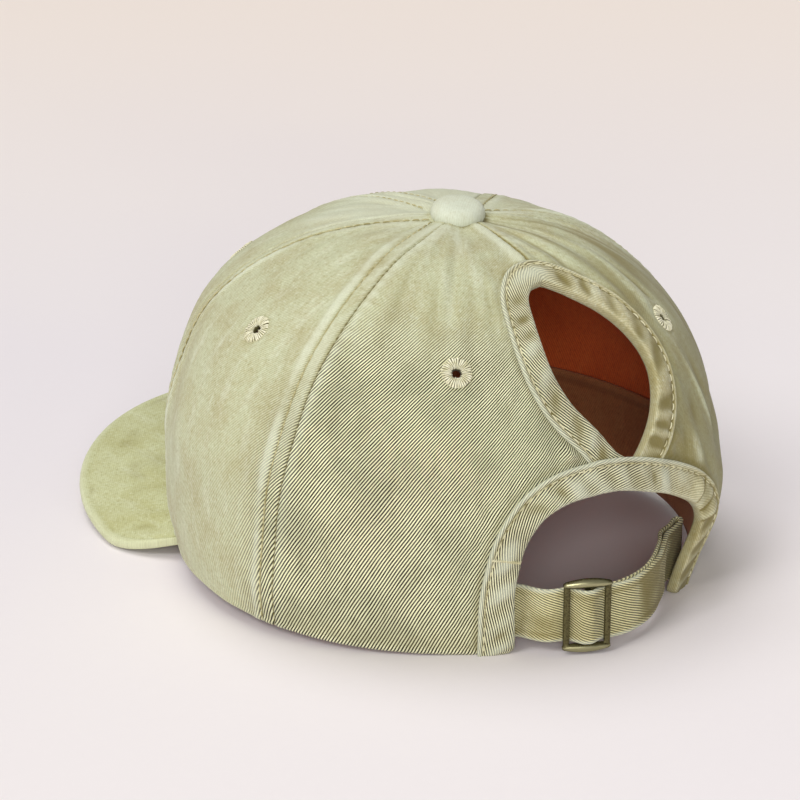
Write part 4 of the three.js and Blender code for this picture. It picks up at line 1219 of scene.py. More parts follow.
def join_rows(rows):
    return [np.concatenate([row[part] for row in rows]) for part in range(3)]


def seam_rows():
    """The sewn row beside each seam of the crown."""
    return [
        seam_row(kind, side == "right", edge)
        for kind, side in PANEL_PLACES
        for edge, sewn in zip(("front", "back"), SEWN_SIDES[kind]) if sewn
    ]


def seam_row(kind, mirrored, edge):
    """The stitches beside one seam, from the hem to near the button."""
    share = np.linspace(0.012, 0.95, 500)
    start, end = panel_turns(kind, share)
    seam, sign = (start, 1) if edge == "front" else (end, -1)
    per_degree = np.linalg.norm(turn_slope(360 - seam if mirrored else seam, share), axis=-1)
    own_turn = seam + sign * SEAM_STITCH / per_degree
    turn = 360 - own_turn if mirrored else own_turn
    points = layer_point(turn, share, np.full(len(share), 0.1))
    return stitches_along(points, crown_normal(turn, share))


# Bindings

BAND_INNER = -(CLOTH + LINING_GAP)
OUTER_COLUMNS = 18  # of a binding's section, from the sewn edge over the outer face to the fold
# Turn and plainness of the ribs, by evenly spaced steps from each binding's left end to its right one
HOLE_RIB_ANGLES = (8, 12, 26, 40, 50, 40, 20, 5)
HOLE_RIB_STRENGTHS = (1, 1, 1, 0.75, 0.16, 0.08, 0.12, 0.2)
ARCH_RIB_ANGLES = (8, 12, 20, 24, 22, 24, 32, 38, 38)
ARCH_RIB_STRENGTHS = (1, 1, 1, 1, 0.95, 0.6, 0.2, 0.12, 0.2)


def band_section(width):
    """Distance and depth round a binding's section: wide leg outside, fold, narrow leg inside."""
    inner = BAND_INNER
    return np.array([
        (width - 0.1, -0.1), (width + 0.12, 0.25), (width + 0.15, 0.65), (width - 0.1, 1.05),
        (width - 0.45, 1.25), (width - 0.85, 1.22), (width - 1.2, 1.02), (width - 1.55, 0.74),
        (width - 1.9, 0.74), (width - 2.3, 0.9), (width - 3.0, 1.0), (width * 0.6, 1.04),
        (width * 0.5, 1.05), (width * 0.4, 1.05), (width * 0.3, 1.04), (2.0, 1.02),
        (1.2, 0.95), (0.55, 0.72), (0.12, 0.25), (0.0, -0.5),
        (0.0, inner), (0.2, inner - 0.6), (0.7, inner - 0.95), (1.6, inner - 1.0),
        (3.2, inner - 1.0), (BINDING_INNER_LEG, inner - 0.9), (BINDING_INNER_LEG + 0.1, inner - 0.4),
        (BINDING_INNER_LEG - 0.1, inner), (2.6, inner), (1.05, inner + 0.1), (1.0, -0.7),
        (1.1, -0.1), (width * 0.45, -0.05),
    ])


def band_ripples(run, distance, width, seed):
    """Soft cross ripples of a binding, deepest in its middle, and puckers at its sewn row."""
    middle = bell(distance, width * 0.42, width * 0.38)
    phase = run * TURN / 9.5 + 4.5 * soft_noise(run / 17, seed, seed) + 0.4 * distance
    waves = 0.3 * np.sin(phase) + 0.4 * soft_noise(run / 6.5, distance / 8 + seed, seed + 1)
    pucker = 0.1 * np.sin(run * TURN / 3.1) * bell(distance, width - 2.2, 1.2)
    return waves * middle + pucker


def pleat_height(run, total):
    """Three folds, each rising slowly and ending in a sharp step, and the shade below each step."""
    along = (run - PLEAT_START * total) / PLEAT_LENGTH
    pleated = (along > 0) & (along < PLEAT_COUNT + 0.2)
    phase = np.maximum(along, 0) % 1
    rise = np.where(along < PLEAT_COUNT, phase ** 1.2 * (1 - smooth(phase, 0.92, 1.0)), 0)
    shade = bell(phase, 0.03, 0.13) * (along > 0.5) + bell(phase, 1.0, 0.07)
    return np.where(pleated, PLEAT_RISE * rise, 0), np.where(pleated, shade, 0)


def rounded_corners(path, widths, distance, radius):
    """Draws the two ends of a band in, so that their corners at the opening are round."""
    to_end = np.minimum(path.length, path.length[-1] - path.length)
    within = np.clip(radius - to_end, 0, radius)
    inset = (radius - np.sqrt(radius ** 2 - within ** 2))[:, None]
    return distance + inset * np.clip(1 - distance / (0.6 * widths[:, None]), 0, 1)


def band_maps(path, widths, sections, angles):
    """Cloth coordinates of a band, whose ribs turn slowly along it."""
    bend = np.radians(path.values(angles))
    around = np.linalg.norm(np.diff(sections, axis=1), axis=2)
    around = np.concatenate([np.zeros((len(widths), 1)), around], 1)
    spread = widths[:, None] - np.cumsum(around, axis=1)
    steps = np.diff(path.length, prepend=0)
    ribs = np.cumsum(np.sin(bend) * steps)[:, None] - spread * np.cos(bend)[:, None]
    threads = np.cumsum(np.cos(bend) * steps)[:, None] + spread * np.sin(bend)[:, None]
    run = np.repeat(path.length[:, None], spread.shape[1], 1)
    return {"Cloth": coordinates(run, spread), "Weave": coordinates(ribs, threads)}


def band_piece(name, node, path, widths, seed, angles, strengths, painted_shading, lift=None, press=None,
               pleats=None, corner=0.0):
    """A folded, sewn strip swept along the edge of an opening."""
    sections = np.stack([band_section(width) for width in widths])
    distance, depth = sections[..., 0], sections[..., 1]
    wide = widths[:, None]
    run = path.length[:, None]
    outer = np.arange(sections.shape[1]) < OUTER_COLUMNS
    ripple = band_ripples(run, distance, wide, seed) * outer
    face = ripple
    if pleats is not None:
        across = bell(distance, wide * 0.45, wide * 0.36) * outer
        face = face + pleats[0][:, None] * across
    if lift is not None:
        face = face + lift[:, None] * (depth > -0.2)
    if corner:
        distance = rounded_corners(path, widths, distance, corner)
    wobble = 0.22 * soft_noise(run / 8, 3, seed + 2) * bell(distance, 0, 1.5)
    turn, share = path.beside(distance + wobble)
    depth = depth + face
    if press is not None:
        flattened = np.minimum(depth, 0.35) * (depth > 0) + depth * (depth <= 0)
        depth = mix(depth, flattened, press[:, None])
    points = layer_point(turn, share, depth)
    points[..., 2] = np.maximum(points[..., 2], 0.05)
    # Pale along the rolled fold; paler on the ripples' crests with painted shade in their troughs; the
    # painted shading passed in darkens or pales whole stretches of the strip.
    wear_and_shading = 0.8 * bell(distance, wide - 0.2, 0.8) * (depth > 0.3) + 1.5 * ripple - painted_shading[:, None]
    # Paler at the opening's edge, painted shade in the sewn row's furrow.
    wear_and_shading = wear_and_shading + (0.5 * bell(distance, 0, 1.0) - 0.7 * bell(distance, wide - BAND_STITCH, 0.45)) * outer
    if pleats is not None:
        wear_and_shading = wear_and_shading - (3.5 * pleats[1] - 0.5 * pleats[0] / PLEAT_RISE)[:, None] * across
    strength = path.values(strengths)[:, None] + 0 * distance
    piece = make_piece(
        name, points.reshape(-1, 3), tube_faces(*distance.shape), [BAND_TWILL],
        layers={"wear_and_shading": wear_and_shading.ravel(), "weave": strength.ravel()},
        maps=band_maps(path, widths, sections, angles),
    )
    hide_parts(node)


def hole_band_path():
    """The hole's edge from one side of its lower tip to the other: the arch's band covers the tip."""
    widths = arch_band_width(ARCH_EDGE) - BAND_OVERLAP
    loop_turn, loop_share = ARCH_EDGE.beside(widths[:, None])
    loop_turn = np.concatenate([loop_turn[:1, 0], loop_turn[:, 0], loop_turn[-1:, 0]])
    loop_share = np.concatenate([[BELOW_HEM], loop_share[:, 0], [BELOW_HEM]])
    under = inside(HOLE_EDGE.turn, HOLE_EDGE.share, loop_turn, loop_share)
    shown = np.flatnonzero(~under)
    return HOLE_EDGE.part(slice(shown[0], shown[-1] + 1))


def make_hole_binding():
    """The strip round the ponytail hole, pressed flat where the arch's strip lies over it."""
    path = hole_band_path()
    widths = np.full(len(path.turn), HOLE_BAND)
    turn, share = path.beside((widths * 0.5)[:, None])
    away = nearest_distance(crown_point(turn[:, 0], share[:, 0]), ARCH_EDGE.points())
    press = 1 - smooth(away, ARCH_BAND_TOP + 1.0, ARCH_BAND_TOP + 6.5)
    band_piece(
        "hole_binding_cloth", "hole_binding", path, widths, 20, HOLE_RIB_ANGLES, HOLE_RIB_STRENGTHS,
        # painted shade over the strip's right-hand stretch
        painted_shading=0.5 * smooth(path.place, 0.5, 0.7), press=press,
    )
    return path, widths, press


def make_arch_binding():
    """The strip round the low arch, lifted over the hole's strip and pleated at its right foot."""
    path = ARCH_EDGE
    widths = arch_band_width(path)
    turn, share = path.beside((widths * 0.8)[:, None])
    away = nearest_distance(crown_point(turn[:, 0], share[:, 0]), HOLE_EDGE.points())
    lift = 0.5 * (1 - smooth(away, 7, 13))
    # Paler at the arch's top and near its left foot; painted shade towards its right foot.
    pale = 0.35 * bell(path.place, 0.5, 0.16) + 0.25 * bell(path.place, 0, 0.2)
    band_piece(
        "arch_binding_cloth", "arch_binding", path, widths, 30, ARCH_RIB_ANGLES, ARCH_RIB_STRENGTHS,
        painted_shading=0.55 * smooth(path.place, 0.68, 0.85) - pale, lift=lift,
        pleats=pleat_height(path.length, path.length[-1]), corner=ARCH_CORNER,
    )
    return path, widths, lift


def band_stitch_row(path, widths, extra):
    """The stitches along a binding, lifted or lowered with its face."""
    turn, share = path.beside((widths - BAND_STITCH)[:, None])
    points = layer_point(turn[:, 0], share[:, 0], BAND_STITCH_LIFT + extra)
    normals = crown_normal(turn[:, 0], share[:, 0])
    above = points[:, 2] > 1.0
    return stitches_along(points[above], normals[above], BAND_STITCH_LENGTH, BAND_STITCH_GAP)


def bar_tack_row():
    """The close zigzag across the arch's left foot."""
    path = ARCH_EDGE
    index = int(np.argmin(np.abs(path.points()[:140, 2] - BAR_TACK_HEIGHT)))
    width = arch_band_width(path)[index]
    middle = BAR_TACK_REACH
    near = path.part(slice(index - middle, index + middle + 1))
    lift = np.array([BAR_TACK_LIFT])
    starts, ends, normals = [], [], []
    for step in range(BAR_TACK_STITCHES):
        side = 1 if step % 2 else -1
        low = mix(0.8, width - 0.6, step / BAR_TACK_STITCHES)
        high = mix(0.8, width - 0.6, (step + 1) / BAR_TACK_STITCHES)
        turns, shares = near.beside(np.array([[low, high]]))
        here, there = middle - side, middle + side
        starts.append(layer_point(turns[here][:1], shares[here][:1], lift)[0])
        ends.append(layer_point(turns[there][1:], shares[there][1:], lift)[0])
        normals.append(crown_normal(turns[middle][:1], shares[middle][:1])[0])
    return np.array(starts), np.array(ends), np.array(normals)


# Sweatband

def make_sweatband():
    """The band round the inside of the hem, open at the arch."""
    outer_depth = -CLOTH - LINING_GAP
    arch_widest = ARCH_HALF_WIDTH * max(ARCH_LEFT)
    end_turn = math.degrees((arch_widest + BINDING_INNER_LEG + CLEARANCE) / CROWN_HALF_WIDTH)
    columns, rows = 340, 26
    turns = np.linspace(ARCH_TURN + end_turn, ARCH_TURN + 360 - end_turn, columns)
    low = share_at_height(SWEATBAND_HEM_STEP / CROWN_HEIGHT)
    high = share_at_height(SWEATBAND_HEIGHT / CROWN_HEIGHT)
    shares = np.linspace(low, high, rows)
    turn, share = np.meshgrid(turns, shares)
    run = np.radians(turn) * CROWN_HALF_WIDTH
    up = (share - low) / (high - low)
    seam = -0.35 * bell(up, 0.9, 0.025)
    waves = 0.3 * soft_noise(run / 14, up * 2.5, 8) * np.sin(math.pi * up)
    inward = seam + waves + 0.25 * bell(up, 1, 0.05)
    outer = layer_point(turn, share, np.full(turn.shape, outer_depth)).reshape(-1, 3)
    inner = layer_point(turn, share, outer_depth - SWEATBAND_THICKNESS - inward).reshape(-1, 3)
    # Pale along the top fold, painted shade in the sewn groove, paler on the waves' crests with painted
    # shade in their troughs.
    wear_and_shading = (0.5 * bell(up, 1, 0.05) - 0.6 * bell(up, 0.9, 0.03) + 0.8 * waves).ravel()
    weave = np.full(len(outer), 0.35)
    piece = make_piece(
        "sweatband_cloth", np.concatenate([outer, inner]),
        wall_faces(grid_quads(rows, columns), len(outer)), [BAND_CLOTH],
        layers=on_both_faces({"wear_and_shading": wear_and_shading, "weave": weave}),
        maps=on_both_faces(weave_maps(run, share * CROWN_RUN, 60)),
    )
    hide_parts("sweatband")


# Brim

BRIM_COLUMNS = 261
BRIM_ROWS = 70
BRIM_RIM_STEPS = 9


def brim_height(x):
    return floor_lift(hem_reach_at(x)) + arch_at(x) - CLEARANCE


def brim_inner_edge(share):
    corner_turn = math.degrees(math.asin(BRIM_CORNER_HALF_WIDTH / CROWN_HALF_WIDTH))
    depth = CLOTH + LINING_GAP + SWEATBAND_THICKNESS
    return layer_point(share * corner_turn, 0 * share, np.full(share.shape, -depth))[..., :2]


def brim_relief(from_edge, run, seed):
    """Height of the brim's cloth: an edge roll and soft blisters."""
    relief = 0.2 * bell(from_edge, 1.8, 1.3) + 0.2 * soft_noise(run / 12, from_edge / 9, seed)
    return relief - 0.1 * bell(from_edge, 4.2, 0.9) + 0.1 * soft_noise(run / 5, from_edge / 4, seed + 1)


def brim_rim(rim, reach, angles):
    """The rounded outer edge, from the upper face down to the lower one."""
    half = BRIM_THICKNESS / 2
    middle = brim_height(rim[:, 0]) - half
    rings = []
    for angle in angles:
        plan = rim + reach * (half * math.cos(angle))
        rings.append(np.column_stack([plan, middle + half * math.sin(angle)]))
    return np.stack(rings, 1)


def make_brim():
    """The peak: an upper face, a rounded rim and an underside, swept from side to side."""
    shares = np.linspace(-1, 1, BRIM_COLUMNS)
    inner = brim_inner_edge(shares)
    outer = brim_outer_edge(shares)
    reach = unit(outer - inner)
    half = BRIM_THICKNESS / 2
    rim = outer - reach * half
    places = np.linspace(0, 1, BRIM_ROWS)
    plan = inner[:, None, :] + (rim - inner)[:, None, :] * places[None, :, None]
    length = np.linalg.norm(outer - inner, axis=1)
    from_edge = (length - half)[:, None] * (1 - places)[None, :] + half
    run = run_along(outer)[:, None]
    height = brim_height(plan[..., 0])
    upper = np.dstack([plan, height + brim_relief(from_edge, run, 9)])
    lower = np.dstack([plan, height - BRIM_THICKNESS - 0.6 * brim_relief(from_edge, run, 12)])
    angles = np.linspace(math.pi / 2, -math.pi / 2, BRIM_RIM_STEPS)[1:-1]
    points = np.concatenate([upper, brim_rim(rim, reach, angles), lower[:, ::-1]], 1)
    at_rim = np.zeros((BRIM_COLUMNS, len(angles)))
    distance = np.concatenate([from_edge, at_rim, from_edge[:, ::-1]], 1)
    rolled = np.concatenate([0 * from_edge, at_rim + 1, 0 * from_edge], 1)
    relief = brim_relief(distance, run, 9) * (1 - rolled)
    # Painted highlight round the rounded rim, pale along the edge roll, paler on the blisters with
    # painted shade in their hollows.
    wear_and_shading = 0.9 * rolled + 0.2 * bell(distance, 1.6, 1.2) * (1 - rolled) + 1.5 * relief
    piece = make_piece(
        "brim_cloth", points.reshape(-1, 3), tube_faces(*distance.shape), [BRIM_TWILL],
        layers={"wear_and_shading": wear_and_shading.ravel(), "weave": np.full(wear_and_shading.size, 0.05)},
        maps=weave_maps(points[..., 0], points[..., 1], 50),
    )
    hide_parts("brim")


# Button

def button_frame():
    """The button's place and the direction that it faces."""
    turns = np.arange(0, 360, 60)
    normal = unit(crown_normal(turns, np.full(6, 0.94)).sum(0) / 6 + np.array(BUTTON_TIP))
    place = 0.5 * (crown_point(0, 1) + crown_point(180, 1)) + np.array(BUTTON_SHIFT)
    side = unit(np.cross([0, 1, 0], normal))
    return place, side, np.cross(normal, side), normal


BUTTON_SIDES = 120
BUTTON_STEM_STEPS = 3
# Radius and height: the stem's in millimetres, then the rest with the radius as a share of the button's
BUTTON_PROFILE = (
    (0.0, -3.2), (1.6, -3.2), (1.9, -0.3),
    (0.84, -0.2), (0.95, 0.1), (0.995, 0.8), (1.01, 1.7), (0.995, 2.7), (0.95, 3.7), (0.875, 4.5),
    (0.77, 5.15), (0.63, 5.6), (0.45, 5.88), (0.24, 6.0), (0.0, 6.02),
)


def button_outline():
    """The radii and heights of the button, from the middle of its foot to the middle of its top."""
    radii, heights = np.array(BUTTON_PROFILE).T
    radii[BUTTON_STEM_STEPS:] *= BUTTON_RADIUS
    places = np.arange(len(radii))
    fine = np.linspace(BUTTON_STEM_STEPS, len(radii) - 1, 40)
    return [
        np.concatenate([values[:BUTTON_STEM_STEPS], np.interp(fine, places, values)])
        for values in (radii, heights)
    ]


def dome_faces(rings, sides):
    """The faces of a round body that closes at each end in one point; these two points come last."""
    low, high = rings * sides, rings * sides + 1
    foot = np.arange(sides)
    top = (rings - 1) * sides + foot
    first = np.stack([np.full(sides, low), np.roll(foot, -1), foot], 1)
    last = np.stack([np.full(sides, high), top, np.roll(top, -1)], 1)
    return [tube_faces(rings, sides)[0], first, last]


def make_button():
    """The covered button: a slightly lumpy dome on a stem, with tucks round its foot."""
    place, side, front, normal = button_frame()
    angles = ring_angles(BUTTON_SIDES)
    radii, heights = button_outline()
    levels = heights[1:-1, None]
    radius = radii[1:-1, None] * (1 + 0.012 * np.cos(2 * angles + 0.6) + 0.008 * np.cos(5 * angles))
    x = radius * np.cos(angles)
    y = radius * np.sin(angles)
    lumps = 0.2 * soft_noise(x / 4.5, y / 4.5, 13) * smooth(levels, 0.6, 3)
    spread = 1 + 0.12 * np.cos(18 * angles) * bell(levels, 0.9, 0.7) / BUTTON_RADIUS
    raised = (levels + lumps)[..., None] * normal
    ring = place + (x * spread)[..., None] * side + (y * spread)[..., None] * front + raised
    low = place + heights[0] * normal
    high = place + (heights[-1] + 0.02) * normal
    # Paler on the lumps with painted shade between them, and painted shade round the dome's foot.
    wear_and_shading = 1.5 * lumps - 0.9 * bell(levels, 0.4, 0.6)
    points = np.concatenate([ring.reshape(-1, 3), [low, high]])
    piece = make_piece(
        "crown_button_cloth", points, dome_faces(*x.shape), [BUTTON_CLOTH],
        layers={"wear_and_shading": np.append(wear_and_shading, [0, 0]), "weave": np.full(len(points), 0.12)},
        maps=weave_maps(np.append(x, [0, 0]), np.append(y, [0, 0]), 40),
    )
    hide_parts("crown_button")


# Eyelets

EYELET_THREADS = 34
THREAD_STEPS = 8
THREAD_CHANCES = (0.035, 0.12, 0.05, 0.02)  # outer length, inner length, lift and sway
# Share of the radius, height, and how far the threads stand out there
EYELET_RINGS = (
    (0.29, -1.7, 0), (0.3, -0.7, 0.4), (0.35, 0.02, 0.9), (0.45, 0.34, 1), (0.56, 0.46, 1),
    (0.7, 0.46, 1), (0.84, 0.38, 1), (0.95, 0.24, 1), (1.03, 0.04, 0.9), (1.04, -0.2, 0.4),
    (0.9, -0.45, 0), (0.5, -1.2, 0), (0.38, -1.8, 0),
)


def make_eyelet(kind, side, number):
    """A ring of radial threads round an air hole, each of its own length and height."""
    turn, share = eyelet_place(kind, side)
    centre = crown_point(turn, share)
    normal = crown_normal(turn, share)
    right = unit(np.cross([0, 0, 1], normal))
    up = np.cross(normal, right)
    chance = np.random.default_rng(SEED + number)
    draws = [chance.normal(0, size, EYELET_THREADS) for size in THREAD_CHANCES]
    outer_jitter, inner_jitter, lift, sway = (np.repeat(draw, THREAD_STEPS) for draw in draws)
    steps = EYELET_THREADS * THREAD_STEPS
    within = (np.arange(steps) % THREAD_STEPS) / THREAD_STEPS
    rounded = np.abs(np.sin(within * math.pi)) ** 0.6
    angles = ring_angles(steps)
    rings, flat, strands = [], [], []
    for place, height, strength in EYELET_RINGS:
        outwards = smooth(place, 0.45, 1.0)
        jitter = outer_jitter * outwards + inner_jitter * (1 - outwards)
        ragged = (rounded - 0.75) * 0.1 * outwards
        radius = EYELET_RADIUS * place * (1 + strength * (jitter + ragged))
        turned = angles + sway * strength * outwards
        x = (radius * np.cos(turned))[:, None]
        y = (radius * np.sin(turned))[:, None]
        raised = (height + strength * (0.3 * (rounded - 0.7) + lift))[:, None]
        rings.append(centre + x * right + y * up + raised * normal)
        flat.append(coordinates(radius, angles * 2))
        # Strands darken towards their edges and down in the hole: painted shade.
        strands.append(mix(1, rounded, strength) * (0.15 if height < -0.1 and place < 0.9 else 1))
    piece = make_piece(
        f"eyelet_{kind}_{side}_thread", np.concatenate(rings),
        tube_faces(len(rings), steps, closed=True), [EYELET_THREAD],
        layers={"strand": np.concatenate(strands)}, maps={"Cloth": np.concatenate(flat)},
    )
    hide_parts(f"eyelet_{kind}_{side}")


# Strap, laid out in plan and stood upright

STRAP_STEP = 0.42
STRAP_FOOT_SHARE = share_at_height(STRAP_LIFT / CROWN_HEIGHT)
STRAP_DEPTH = -CLOTH - LINING_GAP - SWEATBAND_THICKNESS - CLEARANCE - STRAP_THICKNESS / 2


def foot_point(side, distance, depth):
    turned = math.degrees((ARCH_HALF_WIDTH + distance) / CROWN_HALF_WIDTH)
    point = layer_point(ARCH_TURN + side * turned, STRAP_FOOT_SHARE, depth)
    return np.array([point[0], point[1]])


LEFT_FOOT = foot_point(-1, -STRAP_EXIT, STRAP_DEPTH)
RIGHT_FOOT = foot_point(1, -STRAP_EXIT, STRAP_DEPTH)


def strap_line(share):
    point = mix(LEFT_FOOT, RIGHT_FOOT, share)
    return point + np.array([0, STRAP_BULGE * float(table_value(STRAP_BOW, share))])


def strap_frame(share):
    along = unit(strap_line(share + 0.01) - strap_line(share - 0.01))
    return strap_line(share), along, np.array([along[1], -along[0]])


def buckle_point(along, out):
    point, forward, outward = strap_frame(BUCKLE_SHARE)
    return point + forward * along + outward * out


def strap_route():
    """The strap's middle line: over the buckle's bar, round at the right and back behind itself."""
    behind = -(BUCKLE_DEPTH / 2 + CLEARANCE + STRAP_THICKNESS / 2)
    front = -behind
    bar = BUCKLE_WIDTH / 2 - BUCKLE_BAR
    centre = BUCKLE_CENTRE_BAR / 2
    layer_gap = STRAP_THICKNESS + CLEARANCE
    turn_gap = layer_gap + STRAP_TURN_ROOM
    shares = (0.45, 0.55, 0.65, 0.75, 0.85, 0.94)
    inner_depth = STRAP_DEPTH - turn_gap
    route = [
        foot_point(-1, STRAP_TUCK, STRAP_DEPTH), foot_point(-1, STRAP_TUCK / 2, STRAP_DEPTH),
        LEFT_FOOT,
        buckle_point(-BUCKLE_WIDTH * 0.8, behind), buckle_point(-bar - BUCKLE_BAR / 2, behind),
        buckle_point(-bar + 0.1, behind * 0.95), buckle_point(-(bar + centre) / 2, 0),
        buckle_point(-centre - 0.2, front * 0.95), buckle_point(0, front),
        buckle_point(centre + 0.2, front * 0.95), buckle_point((bar + centre) / 2, 0),
        buckle_point(bar - 0.1, behind * 0.95), buckle_point(bar + BUCKLE_BAR / 2, behind),
    ]
    route += [strap_frame(share)[0] for share in shares]
    route.append(RIGHT_FOOT)
    route += [foot_point(1, distance, STRAP_DEPTH) for distance in (STRAP_TUCK / 2, STRAP_TUCK)]
    route.append(foot_point(1, STRAP_TUCK + turn_gap / 2, STRAP_DEPTH - turn_gap / 2))
    back = (STRAP_TUCK, STRAP_TUCK / 2, -STRAP_EXIT)
    route += [foot_point(1, distance, inner_depth) for distance in back]
    for share in shares[::-1]:
        point, _, outward = strap_frame(share)
        route.append(point - outward * layer_gap)
    route += [buckle_point(bar + BUCKLE_BAR, behind - layer_gap), buckle_point(0, behind - layer_gap)]
    return np.array(route)


def centripetal_curve(route, samples):
    """A centripetal Catmull-Rom curve through the points of a route."""
    points = np.concatenate([[2 * route[0] - route[1]], route, [2 * route[-1] - route[-2]]])
    curve = []
    for index in range(1, len(points) - 2):
        four = points[index - 1:index + 3]
        gaps = np.sqrt(np.maximum(np.linalg.norm(np.diff(four, axis=0), axis=1), 1e-6))
        first = ((four[1] - four[0]) / gaps[0] - (four[2] - four[0]) / (gaps[0] + gaps[1])
                 + (four[2] - four[1]) / gaps[1]) * gaps[1]
        second = ((four[2] - four[1]) / gaps[1] - (four[3] - four[1]) / (gaps[1] + gaps[2])
                  + (four[3] - four[2]) / gaps[2]) * gaps[1]
        share = np.linspace(0, 1, samples, endpoint=False)[:, None]
        square, cube = share ** 2, share ** 3
        curve.append(
            four[1] * (2 * cube - 3 * square + 1) + first * (cube - 2 * square + share)
            + four[2] * (3 * square - 2 * cube) + second * (cube - square)
        )
    curve.append(route[-1:])
    return np.concatenate(curve)


def strap_section():
    """Across the strap, from its lower edge: height from its middle, and thickness side."""
    half = STRAP_HEIGHT / 2
    thick = STRAP_THICKNESS / 2
    outer = [(place, thick) for place in np.linspace(-half + 0.7, half - 0.7, 18)]
    corners = ((half - 0.25, 0.85), (half, 0.35), (half, -0.35), (half - 0.25, -0.85))
    upward = np.array(outer + [(place, share * thick) for place, share in corners])
    return np.concatenate([upward, -upward])


def make_strap():
    """The strap as one closed ribbon, with rolled edges, a sewn furrow and a soft sag."""
    curve = centripetal_curve(strap_route(), 16)
    run = run_along(curve)
    places = np.linspace(0, run[-1], int(run[-1] / STRAP_STEP))
    line = np.stack([np.interp(places, run, curve[:, axis]) for axis in range(2)], -1)
    line[1:-1] = (line[:-2] + 2 * line[1:-1] + line[2:]) / 4
    along = unit(np.gradient(line, axis=0))
    outward = np.stack([along[:, 1], -along[:, 0]], -1)
    section = strap_section()
    up, side = section[:, 0][None, :], section[:, 1][None, :]
    length = places[:, None]
    tucked = smooth(length, 14, 22) * (1 - smooth(length, 128, 140))
    sag = 0.3 * soft_noise(length / 8, up / 7, 14) * tucked
    half = STRAP_HEIGHT / 2
    edge = 0.1 * bell(np.abs(up), half - 1.0, 0.9)
    furrow = -0.12 * bell(np.abs(up), half - 2.2, 0.5)
    offset = side + sag + np.sign(side) * (edge + furrow)
    level = STRAP_LIFT + half + up + 0.25 * soft_noise(length / 12, 2, 15) * tucked
    plan = line[:, None, :] + outward[:, None, :] * offset[..., None]
    points = np.concatenate([plan, level[..., None]], -1)
    rows, sides = offset.shape
    # Painted highlights along the strap's top and bottom edges, painted shade in the sewn furrow beside
    # them.
    edges = 1.1 * bell(np.abs(up), half, 1.0) - 0.5 * bell(np.abs(up), half - 2.2, 0.6)
    # Paler where the strap sags out, painted shade where it sags in, and painted shade over all of it
    # beyond about 60 mm from its left end.
    wear_and_shading = edges + 1.8 * sag - 0.1 - 0.75 * smooth(length, 56, 64)
    strength = 0.85 + 0.15 * soft_noise(length / 15, up / 10, 16)
    piece = make_piece(
        "strap_cloth", points.reshape(-1, 3), tube_faces(rows, sides), [STRAP_TWILL],
        layers={"wear_and_shading": (wear_and_shading + 0 * offset).ravel(), "weave": (strength + 0 * offset).ravel()},
        maps=weave_maps(np.repeat(length, sides, 1), np.repeat(up, rows, 0), -24),
    )
    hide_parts("strap")


# Slide buckle

def bar_solid(stations, sizes, power=3.0, sides=20):
    """A rounded bar through stations (x, y), with half sizes across it and through it at each one."""
    stations = np.asarray(stations, float)
    along = unit(np.gradient(stations, axis=0))
    across = np.stack([-along[:, 1], along[:, 0]], -1)
    angles = ring_angles(sides)
    wide = np.sign(np.cos(angles)) * np.abs(np.cos(angles)) ** (2 / power)
    deep = np.sign(np.sin(angles)) * np.abs(np.sin(angles)) ** (2 / power)
    sizes = np.asarray(sizes, float)
    plan = stations[:, None, :] + across[:, None, :] * (sizes[:, :1] * wide[None, :])[..., None]
    return np.concatenate([plan, (sizes[:, 1:] * deep[None, :])[..., None]], -1)


def buckle_parts():
    """Two flat side bars, a middle bar, and a domed bar across the top and the foot."""
    half_width = BUCKLE_WIDTH / 2
    window = STRAP_HEIGHT / 2 + CLEARANCE
    bars = []
    for side in (-1, 1):
        x = side * (half_width - BUCKLE_BAR / 2)
        levels = np.linspace(-window - 0.9, window + 0.9, 16)
        sizes = [(BUCKLE_BAR / 2 - 0.12, 0.72)] * len(levels)
        bars.append(bar_solid([(x, level) for level in levels], sizes, 4.0))
    levels = np.linspace(-window - 0.5, window + 0.5, 12)
    bars.append(bar_solid([(0, level) for level in levels], [(BUCKLE_CENTRE_BAR / 2, 0.62)] * 12, 3.0))
    for side in (-1, 1):
        places = np.linspace(-half_width, half_width, 25)
        share = np.cos(places / half_width * math.pi / 2)
        level = side * (window + 1.15 + 0.35 * share)
        sizes = np.stack([0.85 + 0.75 * share ** 0.8, 0.75 + 0.75 * share ** 0.8], -1)
        sizes[[0, -1]] *= 0.7
        bars.append(bar_solid(np.stack([places, level], -1), sizes, 1.9))
    return bars


def join_solids(parts):
    """One closed mesh from overlapping solids."""
    objects = []
    for index, part in enumerate(parts):
        mesh = bpy.data.meshes.new(f"buckle_part_{index}")
        faces = tube_faces(part.shape[0], part.shape[1])
        points = part.reshape(-1, 3)
        if signed_volume(points, faces) < 0:
            faces = [group[:, ::-1] for group in faces]
        mesh.from_pydata(points.tolist(), [], [row for group in faces for row in group.tolist()])
        objects.append(bpy.data.objects.new(mesh.name, mesh))
        bpy.context.scene.collection.objects.link(objects[-1])
    for other in objects[1:]:
        union = objects[0].modifiers.new(other.name, "BOOLEAN")
        union.operation = "UNION"
        union.object = other
        union.solver = "EXACT"
    bpy.context.view_layer.update()
    graph = bpy.context.evaluated_depsgraph_get()
    joined = bpy.data.meshes.new_from_object(objects[0].evaluated_get(graph))
    for used in objects:
        bpy.data.objects.remove(used)
    return joined


